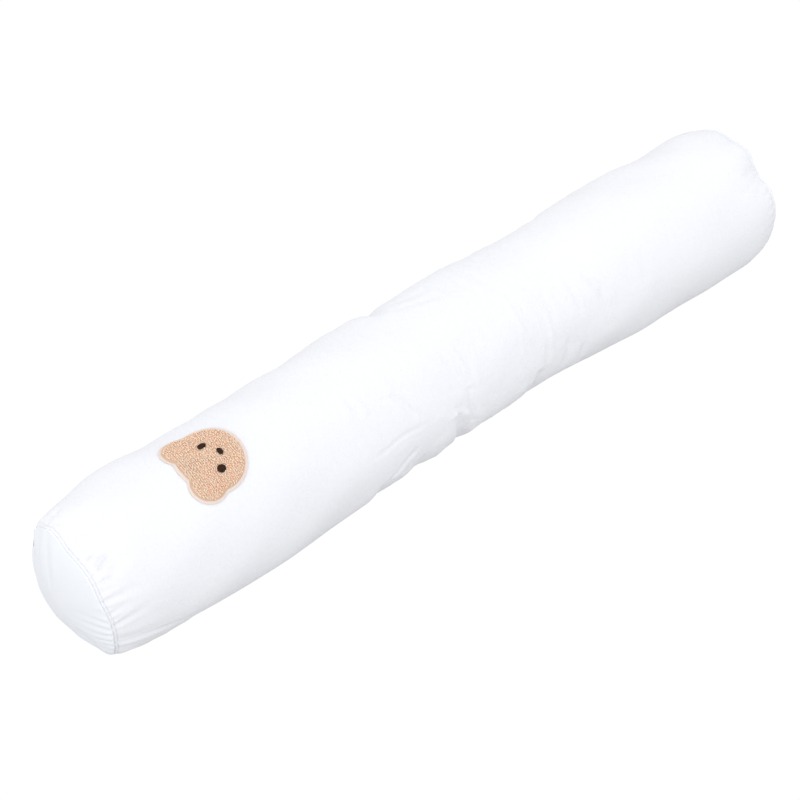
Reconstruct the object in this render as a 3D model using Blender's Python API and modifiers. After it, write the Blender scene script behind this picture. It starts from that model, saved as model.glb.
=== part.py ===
"""Baby bolster pillow, in metres, +Z up.

A tube of white cotton is stuffed tight and closed at each end by a round panel of the same cloth. A terry
patch in the shape of a plain bear's head, with stitched eyes and nose, is sewn on near one end. The bolster
lies along X on the plane z = 0, with the patch near its -X end and its front towards -Y. The origin is at
the middle of its underside. A station is a distance along X from halfway between the two seams, and an angle
goes round the bolster from the top: 90 degrees is the front and -90 the back.
"""

import math
from bisect import bisect_right
from collections import namedtuple

import bpy

MM = 0.001

# Driving dimensions
SEAM_TO_SEAM = 0.800
NEAR_BULGE = 0.021
FAR_BULGE = 0.031
AXIS_HEIGHT = 0.071
CLOTH = 0.002
GAP = 0.0003
PANEL_GAP = 0.0006

# The ends bulge by different amounts, so the middle of the seams lies a little off the origin
MIDDLE_X = (NEAR_BULGE - FAR_BULGE) / 2
HALF_TUBE = SEAM_TO_SEAM / 2

# Where the tube's cloth rolls over into a seam
ROLL_LENGTH = 0.010
ROLL_DEPTH = 0.0025
SEAM_REACH = 0.035
PLEAT_FADE = 8

# Section of a panel: a soft dome on a low upright edge, which tucks in a little at the seam
DOME_SOFTNESS = 1.8
EDGE_RISE = 0.0018
EDGE_TUCK = 0.0004

# Mesh fineness
AROUND = 56
DOME_TURNS = (0, 20, 38, 54, 68, 79, 90)
PATCH_AROUND = 72
DOT_AROUND = 20
COARSE_STEP = 0.016
CREASED_STEP = 0.010
SEAM_STEP = 0.0018
STEP_GROWTH = 0.3
CREASED_FROM, CREASED_TO = -0.130, 0.150
SHARP_ANGLE = math.radians(45)
HALVINGS = 30

# Patch, drawn from one ellipse and two circles
PATCH_STATION = -0.256
PATCH_ANGLE = 7.6
HEAD_HALF_WIDTH = 0.0370
HEAD_HALF_HEIGHT = 0.0316
EAR_RADIUS = 0.0172
EAR_OUT = 0.0226
EAR_UP = 0.0167
EAR_BLEND = 0.005
TERRY = 0.0024
PATCH_EDGE = 0.0009
EYE_APART = 0.0277
EYE_UP = -0.0011
NOSE_BELOW_EYES = 0.0087
FACE_TO_FRONT = 0.002
DOT_HALF_LONG = 0.0040
DOT_HALF_SHORT = 0.0037
DOT_HEIGHT = 0.0010

# Rings of the patch, as shares of the way from its middle to its edge: terry up to the last, then border
TERRY_RINGS = (0.0, 0.25, 0.5, 0.74, 0.92)
BORDER_RINGS = (0.955, 1.0)

# Section of a stitched dot: share of the way to its edge, and share of its height
DOT_SECTION = ((0.0, 1.0), (0.55, 0.85), (0.88, 0.5), (1.0, 0.0))

Section = namedtuple("Section", "station radius side")
Wobble = namedtuple("Wobble", "angle out inboard")
Pleat = namedtuple("Pleat", "angle width depth length")
Fold = namedtuple("Fold", "station angle to_station to_angle width depth")

# The tube's radius and how far its axis lies towards the back, in mm: it is stuffed unevenly
SECTIONS = [
    Section(-400, 66.0, 1.9),
    Section(-370, 73.1, 2.3),
    Section(-333, 77.2, 4.1),
    Section(-267, 77.6, 1.2),
    Section(-200, 77.6, 1.1),
    Section(-133, 76.1, 3.0),
    Section(-67, 75.4, 5.7),
    Section(0, 73.7, 4.5),
    Section(67, 73.5, 5.5),
    Section(133, 71.3, 2.2),
    Section(200, 75.1, -1.4),
    Section(267, 77.7, -1.5),
    Section(333, 75.2, -5.6),
    Section(375, 76.4, -4.4),
    Section(400, 73.6, -3.0),
]

# How far each seam leaves its circle, outwards and towards the tube's middle, in degrees and mm
NEAR_WOBBLE = [
    Wobble(-120, -1.2, -2.6),
    Wobble(-60, -3.0, 0.6),
    Wobble(-25, 5.4, -2.4),
    Wobble(4, -4.1, -1.7),
    Wobble(38, 2.4, -1.1),
    Wobble(68, 2.0, -1.5),
    Wobble(100, 0.2, -0.4),
    Wobble(150, 1.6, 1.6),
]
FAR_WOBBLE = [
    Wobble(-110, 0.7, -0.4),
    Wobble(-55, -0.8, 3.0),
    Wobble(-12, -0.6, -2.0),
    Wobble(1, -1.1, -0.8),
    Wobble(16, 3.4, -0.4),
    Wobble(35, -6.0, 0.6),
    Wobble(60, 3.0, 0.4),
    Wobble(96, -0.6, 0.9),
    Wobble(150, 0.6, -0.9),
]

# Pleats that the seams draw into the tube: angle and width in degrees, depth and length in mm
NEAR_PLEATS = [
    Pleat(-150, 9, 1.6, 20),
    Pleat(-118, 8, 2.0, 26),
    Pleat(-84, 9, 1.5, 18),
    Pleat(-55, 8, 1.4, 20),
    Pleat(-30, 7, 1.6, 16),
    Pleat(5, 8, 1.5, 14),
    Pleat(31, 7, 3.0, 17),
    Pleat(50, 7, 2.2, 26),
    Pleat(62, 5, 1.8, 12),
    Pleat(75, 6, 2.2, 24),
    Pleat(92, 6, 3.2, 38),
    Pleat(112, 8, 2.0, 24),
    Pleat(140, 9, 1.6, 18),
    Pleat(172, 9, 1.2, 16),
]
FAR_PLEATS = [
    Pleat(-140, 9, 1.6, 20),
    Pleat(-98, 8, 1.4, 18),
    Pleat(-60, 8, 1.5, 22),
    Pleat(1, 7, 1.2, 12),
    Pleat(33, 9, 2.6, 22),
    Pleat(62, 7, 1.2, 14),
    Pleat(95, 8, 1.2, 16),
    Pleat(130, 9, 1.5, 18),
    Pleat(175, 9, 1.2, 16),
]

# Dents, creases and ridges, in mm and degrees: a negative depth stands out of the tube
FOLDS = [
    Fold(83, 85, 69, 112, 12, 5.2),
    Fold(78, 30, 81, 59, 9, -1.4),
    Fold(-26, 78, -27, 104, 11, 6.0),
    Fold(-47, 64, -34, 82, 9, -1.5),
    Fold(-1, 31, 3, 50, 8, 1.8),
    Fold(3, 50, -6, 90, 8, 2.4),
    Fold(-16, 29, -10, 58, 8, 1.2),
    Fold(-76, 88, -113, 102, 9, 4.4),
    Fold(-64, 68, -122, 68, 9, 2.2),
    Fold(-85, 37, -62, 70, 9, 1.6),
    Fold(-118, 22, -116, 40, 8, -1.2),
    Fold(119, 75, 116, 102, 9, 3.2),
    Fold(139, 93, 135, 113, 9, 3.0),
    Fold(112, 31, 110, 46, 8, 1.2),
    Fold(-26, -27, -23, -78, 12, 5.0),
    Fold(-44, -32, -44, -60, 12, -1.2),
    Fold(3, -18, 27, -7, 9, 1.2),
    Fold(150, -96, 158, -136, 12, 2.6),
    Fold(-186, -104, -172, -140, 12, 2.4),
    Fold(60, -120, 48, -150, 12, 2.2),
]


def smooth_value(at, places, values):
    """The height at one place of a smooth curve through the given heights."""
    at = min(max(at, places[0]), places[-1])
    i = min(bisect_right(places, at), len(places) - 1) - 1

    def slope(k):
        low, high = max(k - 1, 0), min(k + 1, len(places) - 1)
        return (values[high] - values[low]) / (places[high] - places[low])

    span = places[i + 1] - places[i]
    t = (at - places[i]) / span
    return (
        values[i] * (1 + 2 * t) * (1 - t) ** 2
        + slope(i) * span * t * (1 - t) ** 2
        + values[i + 1] * t * t * (3 - 2 * t)
        - slope(i + 1) * span * t * t * (1 - t)
    )


STATIONS = [row.station * MM for row in SECTIONS]
RADII = [row.radius * MM for row in SECTIONS]
SIDES = [row.side * MM for row in SECTIONS]


def crown_radius(station):
    """The tube's radius before its cloth rolls over into a seam."""
    return smooth_value(station, STATIONS, RADII)


def side_shift(station):
    return smooth_value(station, STATIONS, SIDES)


def rolled_radius(station):
    """The tube's radius, with a quarter of an ellipse where it meets each seam."""
    inboard = HALF_TUBE - abs(station)
    if inboard >= ROLL_LENGTH:
        return crown_radius(station)
    t = 1 - max(inboard, 0.0) / ROLL_LENGTH
    return crown_radius(station) - ROLL_DEPTH * (1 - math.sqrt(1 - t * t))


def around_table(rows, column):
    """The table's angles and one of its columns, with its first and last rows repeated a turn away."""
    turned = [row._replace(angle=row.angle - 360) for row in rows[-2:]]
    turned += rows
    turned += [row._replace(angle=row.angle + 360) for row in rows[:2]]
    return [row.angle for row in turned], [getattr(row, column) * MM for row in turned]


WOBBLES = {"near": around_table(NEAR_WOBBLE, "out"), "far": around_table(FAR_WOBBLE, "out")}
LEANS = {"near": around_table(NEAR_WOBBLE, "inboard"), "far": around_table(FAR_WOBBLE, "inboard")}
PLEATS = {"near": NEAR_PLEATS, "far": FAR_PLEATS}


def angle_between(angle, other):
    """The shorter way round from one angle to the other, in degrees."""
    return (angle - other + 180) % 360 - 180


def seam_relief(station, angle, share):
    """How far the seams' wobble and pleats move the cloth in or out.

    On an end, share is how far a point lies from the middle of the panel to its rim. The wobble dies out
    slowly towards the middle, and the pleats at once.
    """
    end = "near" if station < 0 else "far"
    inboard = max(HALF_TUBE - abs(station), 0.0)
    out = smooth_value(angle, *WOBBLES[end]) * math.exp(-((inboard / SEAM_REACH) ** 2)) * share**2
    for pleat in PLEATS[end]:
        across = angle_between(angle, pleat.angle) / pleat.width
        down = inboard / (pleat.length * MM)
        out -= pleat.depth * MM * math.exp(-across * across - down * down) * share**PLEAT_FADE
    return out


def seam_lean(station, angle, share):
    """How far the seams' wobble moves the cloth along the tube, towards its middle."""
    end = "near" if station < 0 else "far"
    inboard = max(HALF_TUBE - abs(station), 0.0)
    lean = smooth_value(angle, *LEANS[end]) * math.exp(-((inboard / SEAM_REACH) ** 2)) * share**2
    return lean if station < 0 else -lean


def fold_relief(station, angle):
    """How far the dents, creases and ridges move the cloth in or out."""
    out = 0.0
    radius = crown_radius(station)
    for fold in FOLDS:
        turn = angle_between(fold.to_angle, fold.angle)
        run = (fold.to_station - fold.station) * MM
        rise = math.radians(turn) * radius
        x = station - fold.station * MM
        y = math.radians(angle_between(angle, fold.angle)) * radius
        t = min(max((x * run + y * rise) / (run * run + rise * rise), 0.0), 1.0)
        away = math.hypot(x - t * run, y - t * rise) / (fold.width * MM)
        out -= fold.depth * MM * math.exp(-away * away)
    return out


def on_bolster(station, angle, radius, share=1.0, floor=0.0):
    """The place of a point of the plain turned bolster once the cloth lies in its folds on the surface.

    Nothing reaches below the floor given, so the underside is flat.
    """
    inside = min(max(station, -HALF_TUBE), HALF_TUBE)
    x = station + MIDDLE_X + seam_lean(station, angle, share)
    radius += seam_relief(station, angle, share)
    if share == 1.0:
        radius += fold_relief(inside, angle)
    turn = math.radians(angle)
    y = side_shift(inside) - radius * math.sin(turn)
    z = AXIS_HEIGHT + radius * math.cos(turn)
    return x, y, max(z, floor)


def material(name, colour, roughness):
    made = bpy.data.materials.new(name)
    made.use_nodes = True
    shader = made.node_tree.nodes["Principled BSDF"]
    shader.inputs["Base Color"].default_value = (*colour, 1.0)
    shader.inputs["Roughness"].default_value = roughness
    shader.inputs["Metallic"].default_value = 0.0
    return made


def turned(name, profile, steps, collection, finish):
    """A profile of (radius, height) points turned once round Z, as a plain mesh in a new object."""
    outline = bpy.data.meshes.new(name + "_profile")
    points = [(radius, 0.0, height) for radius, height in profile]
    outline.from_pydata(points, [(i, i + 1) for i in range(len(points) - 1)], [])
    guide = bpy.data.objects.new(name + "_profile", outline)
    collection.objects.link(guide)
    screw = guide.modifiers.new("Turn", "SCREW")
    screw.steps = steps
    screw.render_steps = steps
    screw.use_merge_vertices = True
    screw.merge_threshold = 0.00001
    mesh = bpy.data.meshes.new_from_object(guide.evaluated_get(bpy.context.evaluated_depsgraph_get()))
    bpy.data.objects.remove(guide)
    bpy.data.meshes.remove(outline)
    mesh.name = name
    mesh.materials.append(finish)
    made = bpy.data.objects.new(name, mesh)
    collection.objects.link(made)
    return made


def move_points(obj, place):
    """Moves each point of a turned mesh to where place(radius, angle, height) says."""
    for vertex in obj.data.vertices:
        x, y, height = vertex.co
        vertex.co = place(math.hypot(x, y), math.degrees(math.atan2(y, x)), height)
    obj.data.update()
    obj.data.shade_smooth()
    obj.data.set_sharp_from_angle(angle=SHARP_ANGLE)


def tube_stations():
    """Stations from the far seam to the near one: closest by the seams and close in the creased middle."""
    found = [HALF_TUBE]
    while found[-1] > -HALF_TUBE + SEAM_STEP:
        at = found[-1]
        widest = CREASED_STEP if CREASED_FROM < at < CREASED_TO else COARSE_STEP
        left = HALF_TUBE - abs(at)
        step = min(widest, SEAM_STEP + STEP_GROWTH * left)
        if at < 0:
            step = min(widest, max(SEAM_STEP, STEP_GROWTH * left))
        found.append(at - step)
    found[-1] = -HALF_TUBE
    return found


def dome(seam_radius, bulge):
    """Points (radius, height over the seam) of a panel's outer face, from its middle to its tucked rim."""
    rim = seam_radius + EDGE_TUCK
    points = []
    for degrees in DOME_TURNS:
        turn = math.radians(degrees)
        height = EDGE_RISE + (bulge - EDGE_RISE) * max(math.cos(turn), 0.0) ** DOME_SOFTNESS
        points.append((rim * math.sin(turn), height))
    return [*points, (seam_radius, GAP)]


def drawn_in(points, inset):
    """The same points moved square to their line, inwards, by the inset."""
    squares = []
    for (radius, height), (next_radius, next_height) in zip(points[:-1], points[1:]):
        run, fall = next_radius - radius, height - next_height
        length = math.hypot(run, fall)
        squares.append((fall / length, run / length))
    moved = []
    for i, (radius, height) in enumerate(points):
        before = squares[max(i - 1, 0)]
        after = squares[min(i, len(squares) - 1)]
        if i == 0:
            before = after = (0.0, 1.0)
        out, up = before[0] + after[0], before[1] + after[1]
        length = math.hypot(out, up)
        reach = inset * 2 / length
        moved.append((max(radius - reach * out / length, 0.0), height - reach * up / length))
    return moved


def end_of_tube(seam_radius, bulge):
    """The filled end under a panel, as (radius, height over the seam), down to the flat ring at the seam."""
    points = drawn_in(dome(seam_radius, bulge), CLOTH + PANEL_GAP)
    return [*points, (points[-1][0], 0.0)]


def end_share(radius, rim):
    """How far a point lies from the middle of an end to its rim, from 0 to 1."""
    return min(radius / rim, 1.0)


def build_tube(collection):
    far = end_of_tube(rolled_radius(HALF_TUBE), FAR_BULGE)
    near = end_of_tube(rolled_radius(-HALF_TUBE), NEAR_BULGE)
    profile = [(radius, HALF_TUBE + height) for radius, height in far]
    profile += [(rolled_radius(station), station) for station in tube_stations()]
    profile += [(radius, -HALF_TUBE - height) for radius, height in reversed(near)]
    cotton = material("white_cotton", (0.90, 0.91, 0.93), 0.85)
    tube = turned("tube", profile, AROUND, collection, cotton)

    def place(radius, angle, height):
        rim = far[-1][0] if height > 0 else near[-1][0]
        under_panel = radius < rolled_radius(height) - CLOTH / 2
        floor = CLOTH + PANEL_GAP if under_panel else 0.0
        return on_bolster(height, angle, radius, end_share(radius, rim), floor)

    move_points(tube, place)


def build_panel(name, end, bulge, collection):
    """A disc of cloth pushed out into a dome: its outer face, thickened inwards."""
    seam = end * HALF_TUBE
    points = dome(rolled_radius(seam), bulge)
    profile = [(radius, seam + end * height) for radius, height in points]
    if end < 0:
        profile.reverse()
    cotton = material(name + "_cotton", (0.88, 0.90, 0.93), 0.85)
    panel = turned(name, profile, AROUND, collection, cotton)
    rim = points[-1][0]

    def place(radius, angle, height):
        return on_bolster(height, angle, radius, end_share(radius, rim))

    move_points(panel, place)
    cloth = panel.modifiers.new("Cloth", "SOLIDIFY")
    cloth.thickness = CLOTH
    cloth.offset = -1.0


def patch_distance(across, up):
    """How far a point of the flat patch lies outside its outline, below zero inside: a head and two ears."""
    length = math.hypot(across / HEAD_HALF_WIDTH, up / HEAD_HALF_HEIGHT)
    head = (length - 1) * HEAD_HALF_HEIGHT
    ear = math.hypot(abs(across) - EAR_OUT, up - EAR_UP) - EAR_RADIUS
    blend = max(EAR_BLEND - abs(head - ear), 0.0) / EAR_BLEND
    return min(head, ear) - blend * blend * EAR_BLEND / 4


def patch_reach(angle):
    """The distance from the head's middle to the patch's edge in one direction."""
    low, high = 0.0, 2 * HEAD_HALF_WIDTH
    for _ in range(HALVINGS):
        middle = (low + high) / 2
        if patch_distance(middle * math.cos(angle), middle * math.sin(angle)) < 0:
            low = middle
        else:
            high = middle
    return low


def on_patch(across, up, height):
    """The place of a point of the flat patch once it is sewn on the tube, with the ears towards -X.

    Across, up and height are a left-handed set there, so what is turned about its height turns backwards.
    """
    station = PATCH_STATION - up
    radius = crown_radius(station)
    angle = PATCH_ANGLE + math.degrees(across / radius)
    return on_bolster(station, angle, radius + height)


def build_patch(collection):
    """Terry on a thin border, both following the tube, from a coin whose edge is moved to the outline."""
    profile = [(share, TERRY + GAP) for share in TERRY_RINGS]
    profile += [(share, PATCH_EDGE + GAP) for share in BORDER_RINGS]
    profile += [(1.0, GAP), *((share, GAP) for share in reversed(TERRY_RINGS[:-1]))]
    terry = material("tan_terry", (0.72, 0.45, 0.28), 0.95)
    patch = turned("bear_patch", profile, PATCH_AROUND, collection, terry)

    def place(share, angle, height):
        turn = -math.radians(angle)
        reach = share * patch_reach(turn)
        return on_patch(reach * math.cos(turn), reach * math.sin(turn), height)

    move_points(patch, place)


def build_dot(name, across, up, collection):
    """A low dome of satin stitches on the terry."""
    underside = TERRY + 2 * GAP
    profile = [(share, underside + rise * DOT_HEIGHT) for share, rise in DOT_SECTION]
    profile.append((0.0, underside))
    thread = material(name + "_thread", (0.035, 0.018, 0.012), 0.5)
    dot = turned(name, profile, DOT_AROUND, collection, thread)

    def place(share, angle, height):
        turn = -math.radians(angle)
        local_across = across + share * DOT_HALF_SHORT * math.cos(turn)
        return on_patch(local_across, up + share * DOT_HALF_LONG * math.sin(turn), height)

    move_points(dot, place)


def main():
    for obj in list(bpy.data.objects):
        bpy.data.objects.remove(obj)
    collection = bpy.data.collections.new("baby_bolster_pillow")
    bpy.context.scene.collection.children.link(collection)
    build_tube(collection)
    build_panel("end_panel_near", -1, NEAR_BULGE, collection)
    build_panel("end_panel_far", 1, FAR_BULGE, collection)
    build_patch(collection)
    build_dot("stitched_eye_back", FACE_TO_FRONT - EYE_APART / 2, EYE_UP, collection)
    build_dot("stitched_eye_front", FACE_TO_FRONT + EYE_APART / 2, EYE_UP, collection)
    build_dot("stitched_nose", FACE_TO_FRONT, EYE_UP - NOSE_BELOW_EYES, collection)


main()
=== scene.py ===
# %% [markdown]
# # A baby bolster pillow
#
# The real object is a long tube of smooth white cotton, stuffed tight with soft fibre and closed at each end
# by a round panel of the same cloth. A terry patch in the shape of a plain bear's head, with stitched eyes
# and nose, is sewn on near one end.
#
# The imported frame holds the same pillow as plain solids. This script dresses it: it makes a finer skin for
# each solid, in the same place and size, and gives every surface its finish. All lengths are in metres. The
# bolster lies along X on the plane z = 0, with the patch near its -X end and its front towards -Y.

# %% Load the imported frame
import math
from collections import namedtuple
from functools import partial

import bpy
import numpy as np
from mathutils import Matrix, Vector


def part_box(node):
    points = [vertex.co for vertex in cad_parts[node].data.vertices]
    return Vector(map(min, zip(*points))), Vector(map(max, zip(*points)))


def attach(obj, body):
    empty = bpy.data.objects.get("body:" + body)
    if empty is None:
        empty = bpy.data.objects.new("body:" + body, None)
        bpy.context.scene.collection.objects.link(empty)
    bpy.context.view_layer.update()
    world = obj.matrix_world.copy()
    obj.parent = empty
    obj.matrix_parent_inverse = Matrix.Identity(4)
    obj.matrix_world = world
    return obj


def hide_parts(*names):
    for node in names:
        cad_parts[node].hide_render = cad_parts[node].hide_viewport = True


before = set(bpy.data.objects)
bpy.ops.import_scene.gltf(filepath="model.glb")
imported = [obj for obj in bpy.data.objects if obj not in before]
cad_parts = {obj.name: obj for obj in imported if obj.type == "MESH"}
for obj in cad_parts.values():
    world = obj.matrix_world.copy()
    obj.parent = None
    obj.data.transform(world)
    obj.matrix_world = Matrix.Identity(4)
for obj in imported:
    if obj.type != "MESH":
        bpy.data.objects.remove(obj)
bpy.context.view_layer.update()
BODY = "root"
MM = 0.001

# %% [markdown]
# ## Sizes that the frame gives
#
# The two ends of the pillow come from the panels' boxes, so the skin stays on the solids if they move or
# grow. How far each panel bulges past its seam is a size of its own, because a seam leans a little in and
# out as it goes round and so doesn't show in a box.

# %% Measure the tube between its seams
NEAR_BULGE = 0.021
FAR_BULGE = 0.031
near_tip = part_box("end_panel_near")[0].x
far_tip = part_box("end_panel_far")[1].x
HALF_TUBE = (far_tip - FAR_BULGE - near_tip - NEAR_BULGE) / 2
MIDDLE_X = near_tip + NEAR_BULGE + HALF_TUBE
print("from tip to tip", round(far_tip - near_tip, 4))
print("half tube", round(HALF_TUBE, 4), "middle", round(MIDDLE_X, 4))

# %% [markdown]
# ## Camera
#
# The photograph looks down on the pillow from its front left, through a long lens that hardly narrows the
# far end. The camera is placed by two angles and a distance from a point near the pillow's middle.

# %% Place the camera
VIEW_AZIMUTH = math.radians(-40.01)
VIEW_ELEVATION = math.radians(48.26)
VIEW_DISTANCE = 1.873
VIEW_TARGET = Vector((-0.0410, -0.0036, 0.0600))
LENS = 88.9
SENSOR = 36
towards_camera = Vector(
    (
        math.sin(VIEW_AZIMUTH) * math.cos(VIEW_ELEVATION),
        -math.cos(VIEW_AZIMUTH) * math.cos(VIEW_ELEVATION),
        math.sin(VIEW_ELEVATION),
    )
)


def place_camera():
    data = bpy.data.cameras.new("camera")
    data.lens = LENS
    data.sensor_width = SENSOR
    made = bpy.data.objects.new("camera", data)
    bpy.context.scene.collection.objects.link(made)
    made.location = VIEW_TARGET + towards_camera * VIEW_DISTANCE
    made.rotation_mode = "QUATERNION"
    made.rotation_quaternion = (-towards_camera).to_track_quat("-Z", "Y")
    bpy.context.scene.camera = made


place_camera()
print("camera at", tuple(round(x, 3) for x in bpy.context.scene.camera.location))

# %% [markdown]
# ## The tube's form
#
# A stuffed tube isn't a cylinder. The filling is uneven, so its radius and its middle line wander. Both are
# smooth curves through a short table of sections. A smooth curve through few points keeps the form soft,
# where straight runs between them would show as rings.
#
# At each end the cloth rolls into the seam. It is turned under and stitched down a little way in, so a narrow
# band puffs up between the seam and the stitches.

# %% Tables of the tube's form
Section = namedtuple("Section", "station radius side")
AXIS_HEIGHT = 0.071
ROLL_LENGTH = 0.010
ROLL_DEPTH = 0.0020
BAND = 0.0024
BAND_PUFF = 0.0005
STITCH_DEPTH = 0.0010
STITCH_WIDTH = 0.00055

# Station, which is the distance from the middle, then radius, and how far the middle line lies towards the
# back, all in mm
SECTIONS = [
    Section(-400, 66.0, 1.9),
    Section(-370, 73.1, 2.3),
    Section(-333, 77.2, 4.1),
    Section(-267, 77.6, 1.2),
    Section(-200, 77.6, 1.1),
    Section(-133, 76.1, 3.0),
    Section(-67, 75.4, 5.7),
    Section(0, 73.7, 4.5),
    Section(67, 73.5, 5.5),
    Section(133, 71.3, 2.2),
    Section(200, 75.1, -1.4),
    Section(267, 77.7, -1.5),
    Section(333, 75.2, -5.6),
    Section(375, 76.2, -5.6),
    Section(400, 73.6, -3.3),
]


def smooth_values(at, places, values):
    """Heights of a smooth curve through the given heights, at many places at once."""
    places, values = np.asarray(places, float), np.asarray(values, float)
    at = np.clip(at, places[0], places[-1])
    left = np.clip(np.searchsorted(places, at, side="right"), 1, len(places) - 1) - 1
    before = np.maximum(np.arange(len(places)) - 1, 0)
    after = np.minimum(np.arange(len(places)) + 1, len(places) - 1)
    slopes = (values[after] - values[before]) / (places[after] - places[before])
    span = places[left + 1] - places[left]
    t = (at - places[left]) / span
    return (
        values[left] * (1 + 2 * t) * (1 - t) ** 2
        + slopes[left] * span * t * (1 - t) ** 2
        + values[left + 1] * t * t * (3 - 2 * t)
        - slopes[left + 1] * span * t * t * (1 - t)
    )


def from_sections(station, column):
    places = [row.station * MM for row in SECTIONS]
    return smooth_values(station, places, [getattr(row, column) * MM for row in SECTIONS])


def rolled_radius(station):
    """The tube's radius, with a quarter of an ellipse and the stitched band where it rolls into each seam."""
    inboard = HALF_TUBE - np.abs(station)
    t = np.clip(1 - inboard / ROLL_LENGTH, 0, 1)
    rolled = from_sections(station, "radius") - ROLL_DEPTH * (1 - np.sqrt(1 - t * t))
    puff = BAND_PUFF * np.sin(math.pi * np.clip(inboard / BAND, 0, 1))
    return rolled + puff - STITCH_DEPTH * np.exp(-(((inboard - BAND) / STITCH_WIDTH) ** 2))


print("radius at the near seam, middle and far seam", rolled_radius(np.array([-0.4, 0.0, 0.4])).round(4))

# %% [markdown]
# ## Gathers
#
# The tube is a little wider than the panels, so the seam draws its cloth into small puckers. They are
# deepest a few millimetres from the seam, fan out, and fade along the tube. The seam itself stays a nearly
# even line, because the panel holds it. Those that the photograph shows are in a table, and the rest come
# from a seeded random generator.

# %% Tables of the seams
Wobble = namedtuple("Wobble", "angle out inboard")
Pucker = namedtuple("Pucker", "angle width depth length slant")

# How far each seam leaves its circle, outwards and towards the tube's middle, in degrees and mm
NEAR_WOBBLE = [
    Wobble(-120, -1.2, -2.6),
    Wobble(-62, -4.4, -0.8),
    Wobble(-45, -1.8, -2.8),
    Wobble(-30, 1.7, -2.5),
    Wobble(-21, 4.4, -3.0),
    Wobble(-15, 4.8, -1.6),
    Wobble(-7, 1.0, -1.2),
    Wobble(4, -4.1, -1.7),
    Wobble(34, 2.4, -1.9),
    Wobble(52, 2.2, -3.6),
    Wobble(70, 2.0, -2.6),
    Wobble(100, 0.2, -2.4),
    Wobble(150, 1.6, 1.6),
]
FAR_WOBBLE = [
    Wobble(-110, 0.7, -0.4),
    Wobble(-58, -0.6, 3.0),
    Wobble(-36, -3.2, 0.6),
    Wobble(-14, -2.2, -2.0),
    Wobble(1, -2.2, -0.8),
    Wobble(16, 1.2, -1.3),
    Wobble(35, -6.8, -1.0),
    Wobble(60, 1.7, -0.6),
    Wobble(96, -0.6, 0.9),
    Wobble(150, 0.6, -0.9),
]

# Angle and width in degrees, depth and length in mm, and how far it leans in degrees over its length
NEAR_PUCKERS = [
    Pucker(-44, 15, -3.2, 34, 0),
    Pucker(-24, 2.6, 1.0, 13, -2),
    Pucker(-18, 1.8, 0.6, 8, 0),
    Pucker(-11, 2.4, 0.9, 10, -2),
    Pucker(-3, 1.9, 0.6, 7, 0),
    Pucker(4, 2.2, 1.0, 9, 1),
    Pucker(10, 1.8, 0.6, 7, 0),
    Pucker(17, 2.2, 1.0, 10, -2),
    Pucker(23, 1.8, 0.9, 8, 0),
    Pucker(29, 2.6, 1.5, 12, -2),
    Pucker(35, 1.9, 1.2, 9, 1),
    Pucker(40, 1.7, 0.7, 7, 0),
    Pucker(46, 1.7, 0.8, 8, 1),
    Pucker(54, 2.1, 2.2, 23, 1),
    Pucker(60, 1.6, 0.8, 9, 0),
    Pucker(65, 1.8, 1.6, 13, -2),
    Pucker(70, 1.5, 0.6, 8, 0),
    Pucker(76, 2.1, 2.2, 23, -3),
    Pucker(85, 4.4, -0.9, 46, 7),
    Pucker(96.5, 1.9, 3.0, 44, 8),
    Pucker(106, 1.8, 1.1, 22, 5),
    Pucker(113, 1.7, 0.5, 14, 5),
    Pucker(115, 2.4, 1.5, 20, 3),
]
FAR_PUCKERS = [
    Pucker(-6, 2.6, 0.6, 8, 0),
    Pucker(1, 2.6, 0.9, 10, 0),
    Pucker(12, 2.0, 0.6, 7, 1),
    Pucker(20, 1.8, 0.5, 7, 0),
    Pucker(26, 1.7, 1.0, 7, -2),
    Pucker(32, 2.0, 2.4, 9, 0),
    Pucker(38, 1.5, 1.4, 9, 2),
    Pucker(44, 1.8, 0.9, 14, 4),
    Pucker(48, 1.7, 0.9, 9, 0),
    Pucker(54, 1.8, 0.9, 12, 2),
    Pucker(60, 1.7, 0.8, 8, 0),
    Pucker(67, 2.0, 0.8, 11, 1),
    Pucker(75, 2.2, 0.6, 10, 0),
    Pucker(84, 2.4, 0.8, 12, 1),
    Pucker(96, 2.6, 0.8, 12, 0),
]
FIRST_HIDDEN, LAST_HIDDEN = 112, 320
HIDDEN_STEP = 8.5
HIDDEN_STRAY = 3
HIDDEN_WIDTHS = (3.2, 5.2)
HIDDEN_DEPTHS = (0.5, 2.0)
HIDDEN_LENGTHS = (9, 26)


def hidden_puckers(seed):
    """Puckers round the part of a seam that the photograph doesn't show."""
    chance = np.random.default_rng(seed)
    made = []
    for angle in np.arange(FIRST_HIDDEN, LAST_HIDDEN, HIDDEN_STEP):
        made.append(
            Pucker(
                angle + chance.uniform(-HIDDEN_STRAY, HIDDEN_STRAY),
                chance.uniform(*HIDDEN_WIDTHS),
                chance.uniform(*HIDDEN_DEPTHS),
                chance.uniform(*HIDDEN_LENGTHS),
                chance.uniform(-HIDDEN_STRAY, HIDDEN_STRAY),
            )
        )
    return made


PUCKERS = {
    "near": NEAR_PUCKERS + hidden_puckers(seed=4),
    "far": FAR_PUCKERS + hidden_puckers(seed=9),
}
print("puckers", {end: len(rows) for end, rows in PUCKERS.items()})

# %% Section of a furrow
Furrow = namedtuple("Furrow", "shoulder beside broad")

# The shoulders of lifted cloth beside a furrow: how high, how far out and how broad, in its depths and widths
GATHERED = Furrow(0.3, 1.75, 0.75)
SHARPNESS = 1.7


def furrow(across, kind):
    """The section of a furrow, 1 deep in its middle, by the distance across it in widths."""
    across = np.abs(across)
    shoulder = kind.shoulder * np.exp(-(((across - kind.beside) / kind.broad) ** 2))
    return np.exp(-(across**SHARPNESS)) - shoulder


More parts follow.
